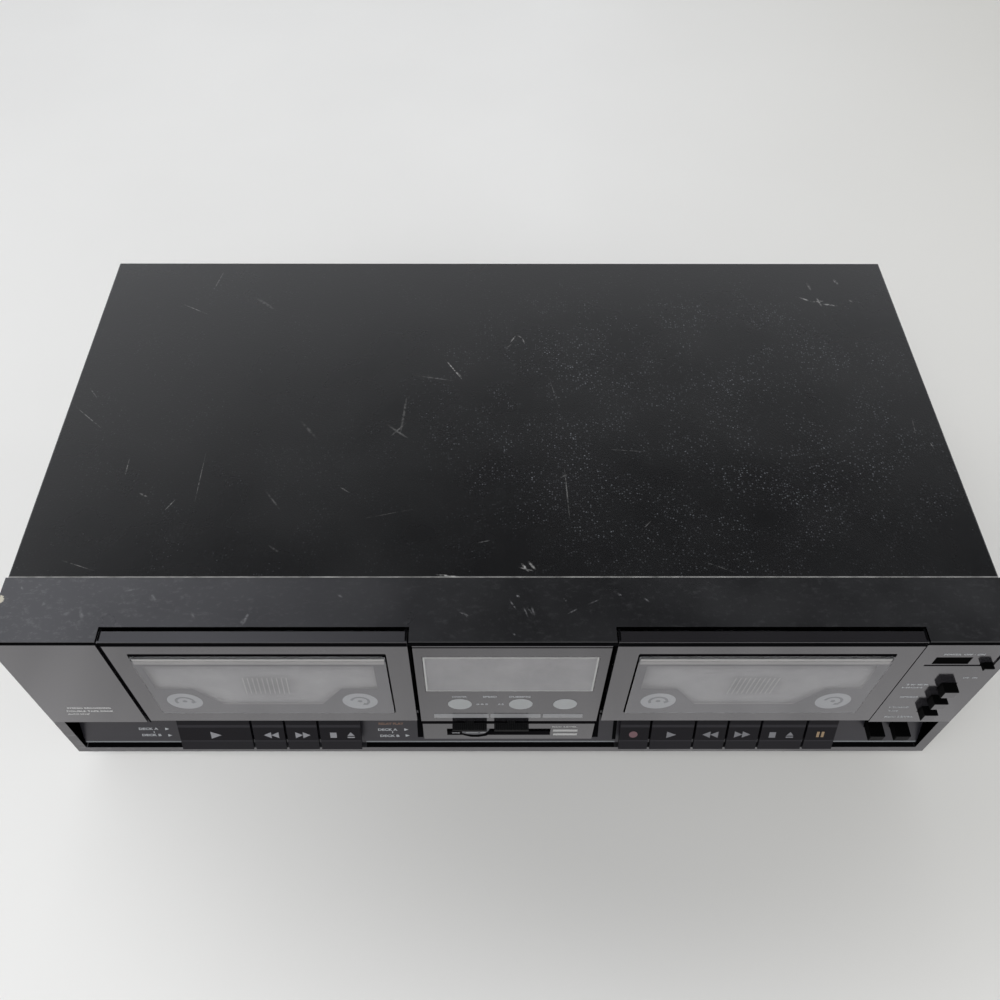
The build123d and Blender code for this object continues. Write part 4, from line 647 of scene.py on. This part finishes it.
def wall(origin, along, up):
    """Axes of any other flat face: a point of it, the way its words run and the way that is up."""
    axes = (Matrix((along, up, Vector(along).cross(Vector(up)))).transposed() * MM).to_4x4()
    axes.translation = origin
    return axes


def ring(x, drop, radius, points=48):
    """A round outline."""
    turns = [2 * math.pi * i / points for i in range(points)]
    return [(x + radius * math.cos(a), drop + radius * math.sin(a)) for a in turns]


def bar(x0, x1, drop0, drop1):
    """A four-cornered outline."""
    return [(x0, drop0), (x1, drop0), (x1, drop1), (x0, drop1)]


def printed(name, outlines, words, on, body, material, lift=0.02, thick=INK):
    """Filled outlines (x, drop) and words (text, x, drop, width, height) as one film on a face."""
    flat = bmesh.new()
    for outline_group in outlines:
        curve = bpy.data.curves.new(name, "CURVE")
        curve.dimensions, curve.fill_mode, curve.extrude = "2D", "BOTH", thick / 2
        for outline in outline_group:
            line = curve.splines.new("POLY")
            line.points.add(len(outline) - 1)
            for point, (x, drop) in zip(line.points, outline):
                point.co = (x, -drop, 0, 1)
            line.use_cyclic_u = True
        flat.from_mesh(bpy.data.meshes.new_from_object(bpy.data.objects.new(name, curve)))
    for text, x, drop, width, height in words:
        curve = bpy.data.curves.new(name, "FONT")
        curve.body, curve.extrude, curve.resolution_u, curve.offset = text, thick / 2, 3, 0.025
        letters = bpy.data.meshes.new_from_object(bpy.data.objects.new(name, curve))
        xs, ys = [v.co.x for v in letters.vertices], [v.co.y for v in letters.vertices]
        letters.transform(Matrix.Translation((x, -drop, 0))
                          @ Matrix.Diagonal((width / (max(xs) - min(xs)), height / (max(ys) - min(ys)), 1, 1))
                          @ Matrix.Translation((-(max(xs) + min(xs)) / 2, -(max(ys) + min(ys)) / 2, 0)))
        flat.from_mesh(letters)
    mesh = bpy.data.meshes.new(name)
    flat.to_mesh(mesh)
    flat.free()
    mesh.transform(on @ Matrix.Translation((0, 0, lift + thick / 2)))
    mesh.materials.append(material)
    piece = bpy.data.objects.new(name, mesh)
    scene.collection.objects.link(piece)
    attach(piece, body)
    return piece


print("a face at depth 0 starts at", face(0).translation)

# %% [markdown]
# The ink is screen printed: almost flat, a little chalky, and thin where it has worn. White,
# several greys and a dull brown, red and amber are used, as on most decks of the time. A matt black
# film stands for painted shade.

# %% Inks


def ink(name, colour, lighter, roughness=0.5):
    """Screen ink in two close tones with fine wear."""
    return moulded(name, colour, lighter, roughness, 0.35, 0.004, 1.48, 0.08)


white_ink = ink("ink_screen_printed_white", "a3a3a2", "c4c4c2")
grey_ink = ink("ink_screen_printed_grey", "8a8c8e", "9c9ea0")
red_ink = ink("ink_screen_printed_red", "4c3337", "5d4146")
amber_ink = ink("ink_screen_printed_amber", "6f5d45", "836e52")
brown_ink = ink("ink_screen_printed_brown", "5c4639", "6b5243")
surround_ink = moulded("ink_screen_printed_dark_grey", "545456", "5e5e60", 0.5, 0.6, 0.004, 1.45,
                       Specular_IOR_Level=0.0)
key_ink = ink("ink_screen_printed_key_grey", "656568", "77777a")
worn_key_ink = ink("ink_screen_printed_worn_key_grey", "545457", "646467")
# Matt black for painted shade: the black films below stand for shade in gaps, recesses and under edges.
black_for_painted_shade = moulded("matt_black_for_painted_shade", "060607", "0c0c0d", 0.5, 0.6, 0.004, 1.45,
                    Specular_IOR_Level=0.0)
pale_ink = ink("ink_screen_printed_pale", "8c8c8a", "9c9c9a")
dim_ink = ink("ink_screen_printed_dim", "6c6c6d", "7c7c7d")
disc_ink = ink("ink_screen_printed_disc", "7c7e7e", "8d8f8f")
shade_ink = ink("ink_screen_printed_shade", "5d6062", "6d7072")
print("inks", white_ink.name, grey_ink.name, black_for_painted_shade.name)

# %% [markdown]
# Behind the face of each door window the pane is printed dark grey, except where the tape shows.
# That clear place has the outline of a cassette: a wide top, and a foot that narrows below. A
# strip above it stays clear too. The edge of the print is what the eye sees, so the film lies
# inside the pane, close behind its front. Its own shine is off, because the pane touches it. A
# silver grey strip in the groove along the top is a painted highlight on the pane's top edge,
# and a pale strip below it is a painted reflection of that edge, with a thin pale line of painted
# highlight at the foot of the cassette. A black line at the top of the pane, one on the door above
# the pane and thin black lines along the top of the door and at its ends are painted shade in the
# gaps.

# %% Door window film
WINDOW_FACE, DOOR_FACE = -1.2, -0.35
PRINT_BACK, GROOVE_BACK, MARK_BACK = 0.5, 0.78, 0.42  # mm behind the face of the pane
PANE_RIM = 2.15
highlight_grey_paint = ink("silver_grey_for_painted_highlights", "82817f", "8f8d8b")
doors = {"a": -105.3, "b": 111.0}
clear_shape = [(-49.6, 19.9), (49.2, 19.9), (49.2, 41.5), (33.0, 41.5), (22.6, 57.4), (-23.0, 57.4),
               (-33.4, 41.5), (-49.6, 41.5)]
for side, centre in doors.items():
    body = f"door_{side}"
    pane_low, pane_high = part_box(f"door_{side}_window")
    left, right = pane_low.x / MM + PANE_RIM, pane_high.x / MM - PANE_RIM
    cut = [[(centre + x, drop) for x, drop in clear_shape], bar(left + 0.6, right - 0.6, 14.0, 18.1)]
    film = printed(f"door_{side}_window_ink", [[bar(left, right, 12.4, 67.4), *cut]], [],
                   face(WINDOW_FACE + PRINT_BACK), body, surround_ink, 0.0)
    # Painted highlight and painted reflection: pale strips along the pane's top edge, and a thin pale line at
    # the foot of the cassette.
    printed(f"door_{side}_groove_highlight", [[bar(left + 0.5, right - 0.5, 13.25, 15.35)]], [],
            face(WINDOW_FACE + GROOVE_BACK), body, highlight_grey_paint, 0.0, 0.6)
    printed(f"door_{side}_reflection_strip", [[bar(left + 0.6, right - 0.6, 15.5, 18.1)],
                                         [bar(centre - 23.0, centre + 22.6, 56.9, 57.4)]], [],
            face(WINDOW_FACE + MARK_BACK), body, highlight_grey_paint, 0.0)
    # Painted shade: a black line along the top of the pane.
    printed(f"door_{side}_ridge_shade", [[bar(left + 0.2, right - 0.2, 12.35, 13.1)]], [],
            face(WINDOW_FACE + MARK_BACK), body, black_for_painted_shade, 0.0)
    plate_low, plate_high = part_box(f"door_{side}_frame")
    plate_left, plate_right = plate_low.x / MM, plate_high.x / MM
    # Painted shade in the gaps: black lines above the pane, along the top of the door, at its left side and
    # on its ends.
    printed(f"door_{side}_shadow_line", [[bar(left - 0.3, right + 0.3, 10.3, 12.1)],
                                         [bar(plate_left + 0.2, plate_right - 0.2, 0.5, 3.1)]], [],
            face(DOOR_FACE), body, black_for_painted_shade)
    if side == "a":
        printed("door_a_side_shadow_line", [[bar(plate_left + 0.05, plate_left + 0.75, 3.2, 79.0)]], [],
                face(DOOR_FACE), body, black_for_painted_shade)
    top_face = wall(Vector((0, FRONT_Y * MM, plate_high.z)), (1, 0, 0), (0, 1, 0))
    printed(f"door_{side}_end_shadow_lines", [[bar(plate_left + 0.05, plate_left + 0.95, -6.1, -0.5)],
                                       [bar(plate_right - 0.95, plate_right - 0.05, -6.1, -0.5)]], [],
            top_face, body, black_for_painted_shade, SUNK)
    print(film.name, len(film.data.polygons), "faces, from", round(left, 1), "to", round(right, 1), "mm")

# %% [markdown]
# Behind each pane lies a thin even pale haze that hides what is behind it, a painted reflection of
# the pale room in the clear part of the window. It is a sheet that is partly clear and partly pale,
# just behind the pane.

# %% Pale haze behind the windows, a painted reflection
HAZE_DEPTH, HAZE_THICK = 2.75, 0.03
material, tree, shader, where = begin("pale_haze_for_painted_reflection", Roughness=0.9, Specular_IOR_Level=0.0)
cloud = add(tree, "ShaderNodeTexNoise", {"Vector": where, "Scale": per_metre(18), "Detail": 6.0})
tone = add(tree, "ShaderNodeMixRGB", {"Fac": cloud, "Color1": paint("989899"), "Color2": paint("aaa9a8")})
tree.links.new(tone.outputs[0], shader.inputs["Base Color"])
thin = add(tree, "ShaderNodeMapRange", {"Value": cloud, "From Min": 0.3, "From Max": 0.7,
                                        "To Min": 0.5, "To Max": 0.66})
tree.links.new(thin.outputs[0], shader.inputs["Alpha"])
pale_haze_painted_reflection = material
for side, centre in doors.items():
    haze = printed(f"door_{side}_window_haze", [[bar(centre - 53.0, centre + 53.0, 16.5, 66.5)]], [],
                   face(HAZE_DEPTH), f"door_{side}", pale_haze_painted_reflection, 0.0, HAZE_THICK)
    print(haze.name, len(haze.data.polygons), "faces")

# %% [markdown]
# On the film stand two pale discs at the lower corners, each with an arrow bent round a hub, and
# a row of short upright strokes in the middle that serve as a scale for the tape left. Each stroke
# has a dimmer one beside it, as a groove in the plastic has its own shade.

# %% Marks on the door windows
DISC_X, DISC_DROP = 40.0, 54.4
STROKES, STROKE_SPACING = 10, 2.12
ARROW_BACK = 0.35  # mm behind the face of the pane, just before the discs

def arrow_ring(x, drop, radius, turn):
    """An open ring with a pointed end, as one outline."""
    outer, inner, start, sweep = radius, radius * 0.72, math.radians(turn), math.radians(215)
    arc = [start + sweep * i / 20 for i in range(21)]
    shape = [(x + outer * math.cos(a), drop + outer * math.sin(a)) for a in arc]
    mid, ahead = (outer + inner) / 2, arc[-1] + 0.55
    shape += [(x + (outer + 0.9) * math.cos(arc[-1]), drop + (outer + 0.9) * math.sin(arc[-1])),
              (x + mid * math.cos(ahead), drop + mid * math.sin(ahead)),
              (x + (inner - 0.9) * math.cos(arc[-1]), drop + (inner - 0.9) * math.sin(arc[-1]))]
    return shape + [(x + inner * math.cos(a), drop + inner * math.sin(a)) for a in reversed(arc)]


for side, centre in doors.items():
    body, discs, arrows = f"door_{side}", [], []
    for x, turn in ((-DISC_X, 150), (DISC_X, 190)):
        discs.append([ring(centre + x, DISC_DROP, 8.0)])
        arrows += [[arrow_ring(centre + x, DISC_DROP, 4.6, turn)], [ring(centre + x, DISC_DROP, 1.1, 16)]]
    strokes = [[[(centre + x, 31.0), (centre + x + 0.5, 31.0), (centre + x - 0.5, 46.4),
                 (centre + x - 1.0, 46.4)]] for x in (-9.3 + STROKE_SPACING * i for i in range(STROKES))]
    printed(f"door_{side}_discs", discs, [], face(WINDOW_FACE + MARK_BACK), body,
            grey_ink, 0.0)
    front = face(WINDOW_FACE + ARROW_BACK)
    printed(f"door_{side}_arrows", arrows, [], front, body, shade_ink, 0.0)
    printed(f"door_{side}_scale", strokes, [], front, body, pale_ink, 0.0)
    grooves = [[[(x + 0.8, drop) for x, drop in stroke[0]]] for stroke in strokes]
    printed(f"door_{side}_scale_shadows", grooves, [], front, body, dim_ink, 0.0)
print("marks on", len(doors), "doors")

# %% [markdown]
# The centre panel frames the meters with a thin pale line. Below it come a row of small words,
# three pale discs and a split bar that marks the range of the level knobs. The slider hood has a
# short scale in its slot and two white bars beside it. A black line under the top edge of the
# moulding, between and beside the doors, is the shadow in the gap above the panels.

# %% Marks on the centre panel
METER_BACK, HOOD_FACE = 0.4, 0.4
window_low, window_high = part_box("meter_window")
left, right = window_low.x / MM + 0.3, window_high.x / MM - 0.3
top, sill = TOP_Z - window_high.z / MM + 0.3, TOP_Z - window_low.z / MM - 0.3
# A pale haze behind the meter window, a painted reflection.
printed("meter_window_haze", [[bar(left, right, top, sill)]], [], face(METER_BACK), "case",
        pale_haze_painted_reflection, 0.0, HAZE_THICK)
printed("front_shadow_line", [[bar(-214.7, -168.8, 0.5, 2.9)], [bar(-40.0, 46.8, 0.5, 3.6)],
                              [bar(175.5, 214.7, 0.5, 2.9)]], [], face(0), "case",
        black_for_painted_shade)
printed("meter_border", [[bar(left, right, top, sill),
                          bar(left + 0.7, right - 0.7, top + 0.8, sill - 0.7)]], [], face(0), "case",
        pale_ink)
printed("centre_discs", [[ring(x, 59.9, 5.5)] for x in (-19.8, 8.35, 28.85)], [], face(0), "case",
        disc_ink)
printed("centre_bars", [[bar(-32.2, -6.5, 70.7, 75.0)], [bar(-5.6, 18.1, 70.7, 75.0)],
                        [bar(19.2, 38.0, 70.7, 75.0)]], [], face(0), "case", dim_ink)
printed("centre_words", [], [("COUNTER", -19.9, 52.0, 6.6, 1.5), ("SPEED", -6.0, 52.0, 6.4, 1.6),
                             ("DUBBING", 7.7, 52.0, 9.8, 1.5), ("0 0 0", -9.5, 59.9, 5.4, 1.4),
                             ("A B", -0.9, 59.9, 2.6, 1.6)], face(0), "case", grey_ink)
printed("hood_bars", [[bar(25.1, 37.0, 89.7, 92.1)], [bar(25.4, 37.1, 94.3, 96.6)]],
        [("REC LEVEL", 30.6, 86.4, 12.2, 1.5)], face(HOOD_FACE), "case", pale_ink)
print("meter border", round(right - left, 1), "by", round(sill - top, 1), "mm")

# %% [markdown]
# Each key has its sign in pale ink: a triangle to play, doubled ones to wind, a square to stop, a
# triangle on a bar to eject, a red dot to record and two amber bars to pause. They lie on the
# sloping face of their own key and move with it.

# %% Signs on the keys
KEY_TILT = 19.0
KEY_FOOT = 105.5
KEY_REACH = -3.2
key_face = face(KEY_REACH, KEY_FOOT, KEY_TILT)


def wedge(x0, x1, drop, half):
    """A triangle that starts at x0 and points to x1."""
    return [(x0, drop - half), (x1, drop), (x0, drop + half)]


def eject(x, drop):
    """A triangle that points up over a bar."""
    return [[[(x - 1.8, drop + 0.5), (x, drop - 1.9), (x + 1.8, drop + 0.5)]],
            [bar(x - 1.8, x + 1.8, drop + 1.1, drop + 1.9)]]


signs = {
    "key_a_play": (key_ink, [[wedge(-143.2, -138.0, 95.8, 2.3)]]),
    "key_a_rewind": (key_ink, [[wedge(-113.5, -117.2, 95.8, 2.0)], [wedge(-109.8, -113.5, 95.8, 2.0)]]),
    "key_a_forward": (key_ink, [[wedge(-101.6, -97.9, 95.8, 2.0)], [wedge(-97.9, -94.2, 95.8, 2.0)]]),
    "key_a_stop": (key_ink, [[bar(-84.5, -81.3, 94.1, 97.6)], *eject(-74.3, 95.8)]),
    "key_b_record": (red_ink, [[ring(64.9, 95.5, 2.1, 32)]]),
    "key_b_play": (worn_key_ink, [[wedge(81.4, 86.1, 95.7, 2.1)]]),
    "key_b_rewind": (worn_key_ink, [[wedge(102.9, 99.0, 95.6, 2.1)], [wedge(106.8, 102.9, 95.6, 2.1)]]),
    "key_b_forward": (worn_key_ink, [[wedge(114.8, 118.7, 95.5, 2.1)], [wedge(118.7, 122.6, 95.5, 2.1)]]),
    "key_b_stop": (worn_key_ink, [[bar(132.0, 135.2, 94.0, 97.6)], *eject(142.3, 95.8)]),
    "key_b_pause": (amber_ink, [[bar(155.4, 156.7, 93.7, 97.3)], [bar(157.7, 159.0, 93.7, 97.3)]]),
}
for key, (colour, shapes) in signs.items():
    printed(f"{key}_sign", shapes, [], key_face, key, colour)
print("signs", len(signs))

# %% [markdown]
# The recess behind the keys and the panel on the right carry small white words for what the
# switches beside them do. The real ones are too small to read in the picture, so plain function
# words of the same length stand in for them. A pale line along the foot of the recess is a painted
# highlight on its edge, and black films are painted shadows in its gaps and on the lip in front of
# it.

# %% Words on the recess and the panels
RECESS_DEPTH, RECESS_FOOT, RECESS_TILT = 1.5, 108.0, 21.5
recess_face = face(RECESS_DEPTH, RECESS_FOOT, RECESS_TILT)
decks = []
for x, drop in ((-176.0, 99.2), (-56.8, 99.8)):
    decks += [("DECK A", x, drop, 9.6, 1.4), ("DECK B", x + 0.9, drop + 4.0, 9.6, 1.4)]
pointers = [[wedge(x - 1.0, x + 1.0, drop, 0.8)] for x, drop in
            ((-166.7, 99.3), (-165.9, 103.4), (-47.5, 99.8), (-47.0, 103.6))]
pointers += [[bar(x - 0.2, x + 0.2, 100.8, 102.0)] for x in (-173.6, -54.4)]
printed("recess_words", pointers, decks, recess_face, "case", grey_ink)
printed("recess_tint_words", [], [("RELAY PLAY", -54.9, 96.0, 12.4, 1.4)], recess_face, "case",
        brown_ink)
printed("switch_words", [], [
    ("POWER  OFF - ON", 194.2, 11.1, 17.3, 1.4), ("OFF   ON", 205.4, 32.9, 6.2, 1.2),
    ("TIMER", 184.6, 39.6, 10.5, 1.4), ("HIGH", 183.3, 42.6, 9.0, 1.2), ("SPEED", 185.4, 52.3, 8.2, 1.4),
    ("MODE", 184.8, 63.3, 9.3, 1.3), ("TYPE", 183.4, 67.4, 4.7, 1.1), ("REC LEVEL", 188.5, 73.9, 13.8, 1.6)],
    face(0), "case", grey_ink)
printed("left_panel_words", [], [
    ("STEREO RECORDING", -192.7, 63.9, 20.4, 1.4), ("DOUBLE TAPE DECK", -193.1, 67.3, 22.0, 1.4),
    ("AUTO STOP", -199.6, 70.6, 10.4, 1.3)], face(0), "case", white_ink)
LIP_DROP = 110.9
LIP_FRONT, LIP_BACK = 0.1, 3.2
between_keys = ((-209.0, -160.0), (-68.0, 57.0), (166.0, 209.0))
# Painted highlight along the foot of the recess.
printed("recess_foot_highlight", [[bar(x0, x1, 107.1, 107.8)] for x0, x1 in between_keys], [], recess_face, "case",
        shade_ink)
printed("recess_gap_lines", [[bar(-41.9, -39.1, 84.0, 104.6)], [bar(45.5, 48.4, 84.0, 104.6)],
                             [bar(55.6, 57.4, 84.0, 106.0)]], [], recess_face, "case",
        black_for_painted_shade)
printed("lip_shadow", [[bar(x0, x1, -LIP_BACK, -LIP_FRONT)] for x0, x1 in between_keys], [],
        wall(place(0, 0, LIP_DROP), (1, 0, 0), (0, 1, 0)), "case", black_for_painted_shade)
print("words done")

# %% [markdown]
# In the left end of the hood's slot sits a small curved scale, pale with a few light strokes and
# with a black rim below. It is cut from thin sheet and stands just behind the front of the hood.

# %% Curved scale in the slot
SCALE_BACK, SCALE_FRONT = 0.75, 0.45
inner = [(-19.4, 94.0), (-17.5, 95.2), (-14.5, 96.0), (-11.5, 96.0), (-9.0, 95.0), (-7.2, 93.0), (-6.2, 90.4)]
outer = [(-20.0, 94.6), (-18.4, 96.8), (-15.0, 98.6), (-11.5, 98.7), (-7.6, 97.2), (-5.0, 93.8), (-4.4, 90.4)]
printed("slot_scale", [[[(-19.6, 89.0), (-6.0, 89.0), *reversed(inner)]]], [], face(SCALE_BACK), "case",
        surround_ink, 0.0, SCALE_BACK - SCALE_FRONT)
printed("slot_scale_marks", [[bar(-24.4, -20.6, 93.4, 94.2)], [bar(-17.6, -11.6, 93.2, 94.0)],
                             [bar(-10.6, -7.9, 93.0, 93.8)], [bar(-24.0, -22.2, 91.2, 91.8)]], [],
        face(SCALE_FRONT), "case", dim_ink, 0.0)
printed("slot_scale_rim", [[outer + inner[::-1]]], [], face(HOOD_FACE), "case", black_for_painted_shade)
print("slot scale", len(inner), "points on its rim")

# %% [markdown]
# The back and the underside aren't in the picture, so they are finished as such decks are. Plain
# words stand by the jacks, each jack has a nickel sleeve, and its end is white for the left channel
# and red for the right. Every screw has a cross cut into its head, drawn as a black film of painted
# shade.

# %% Jacks, rear words and screw heads
JACK_COLUMNS, JACK_ROWS = (122.0, 138.0), (32.0, 48.0)
SLEEVE_OUTER, SLEEVE_INNER, SLEEVE_START, SLEEVE_LENGTH = 4.45, 4.18, 1.55, 7.2
panel_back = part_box("rear_panel")[1].y
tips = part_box("rear_connectors")[1].y
tree = finish["connector_plastic"].node_tree
axes = add(tree, "ShaderNodeSeparateXYZ", {"Vector": add(tree, "ShaderNodeTexCoord").outputs["Object"]})
ends = within(tree, axes.outputs["Y"], tips / MM - 0.5, tips / MM + 0.5)
ends = add(tree, "ShaderNodeMath", {0: ends, 1: facing_side(tree, "Y", 0.9)}, operation="MULTIPLY")
for drop, colour in zip(JACK_ROWS, ("a8a69e", "7d2320")):
    row = within(tree, axes.outputs["Z"], TOP_Z - drop - 6, TOP_Z - drop + 6)
    share = add(tree, "ShaderNodeMath", {0: row, 1: ends}, operation="MULTIPLY")
    blend(finish["connector_plastic"], share, colour)

jacks = [(x, drop) for x in JACK_COLUMNS for drop in JACK_ROWS]
back = wall(Vector((0, panel_back, TOP_Z * MM)), (-1, 0, 0), (0, 0, 1))
nickel = metal("brass_nickel_plated_sleeve", "b9b4aa", "cfcac0", 0.22, 0.8)
printed("jack_sleeves", [[ring(x, drop, SLEEVE_OUTER), ring(x, drop, SLEEVE_INNER)] for x, drop in jacks],
        [], back, "case", nickel, SLEEVE_START, SLEEVE_LENGTH)
printed("rear_words", [], [("LINE", 130.0, 14.2, 10.4, 2.3), ("IN", 122.0, 18.9, 3.6, 2.1),
                           ("OUT", 138.0, 18.9, 7.4, 2.1), ("L", 109.0, 32.0, 1.6, 2.3),
                           ("R", 109.0, 48.0, 2.0, 2.3)], back, "case", grey_ink)


def cross(x, drop, reach=1.9, half=0.32):
    """The outline of the cross in a screw's head."""
    corners = ((half, reach), (half, half), (reach, half))
    turns = ((1, 0), (0, -1), (-1, 0), (0, 1))
    return [(x + u * c - v * s, drop + u * s + v * c) for c, s in turns for u, v in corners]


HEAD, CASE_DEPTH = 1.5, 240
SIDE_DEPTHS, SIDE_DROP = (62, 200), 104
LOW_SCREWS, LOW_DROP = (-180, -60, 60, 180), 107
HIGH_SCREWS, HIGH_DROP = (-150, 0, 150), 5
FOOT_SCREWS = [(x, depth) for x in (-175, 175) for depth in (38, 205)]
side_face, foot_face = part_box("case_screws")[1].x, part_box("foot_screws")[0].z
heads = {
    "right": (wall(Vector((side_face, FRONT_Y * MM, TOP_Z * MM)), (0, 1, 0), (0, 0, 1)),
              [(depth, SIDE_DROP) for depth in SIDE_DEPTHS]),
    "left": (wall(Vector((-side_face, FRONT_Y * MM, TOP_Z * MM)), (0, -1, 0), (0, 0, 1)),
             [(-depth, SIDE_DROP) for depth in SIDE_DEPTHS]),
    "rear_low": (wall(Vector((0, panel_back + HEAD * MM, TOP_Z * MM)), (-1, 0, 0), (0, 0, 1)),
                 [(x, LOW_DROP) for x in LOW_SCREWS]),
    "rear_high": (wall(place(0, CASE_DEPTH + HEAD, 0), (-1, 0, 0), (0, 0, 1)),
                  [(x, HIGH_DROP) for x in HIGH_SCREWS]),
    "foot": (wall(Vector((0, FRONT_Y * MM, foot_face)), (1, 0, 0), (0, -1, 0)), FOOT_SCREWS),
}
for name, (on, places) in heads.items():
    slot_name = "screw_steel" if name == "foot" else "black_screw"
    # Painted shade: the cross in each screw head is a black film.
    crosses = [[cross(x, drop)] for x, drop in places]
    printed(f"{name}_screw_crosses", crosses, [], on, "case", black_for_painted_shade, SUNK)
print("screw heads", sum(len(places) for on, places in heads.values()))
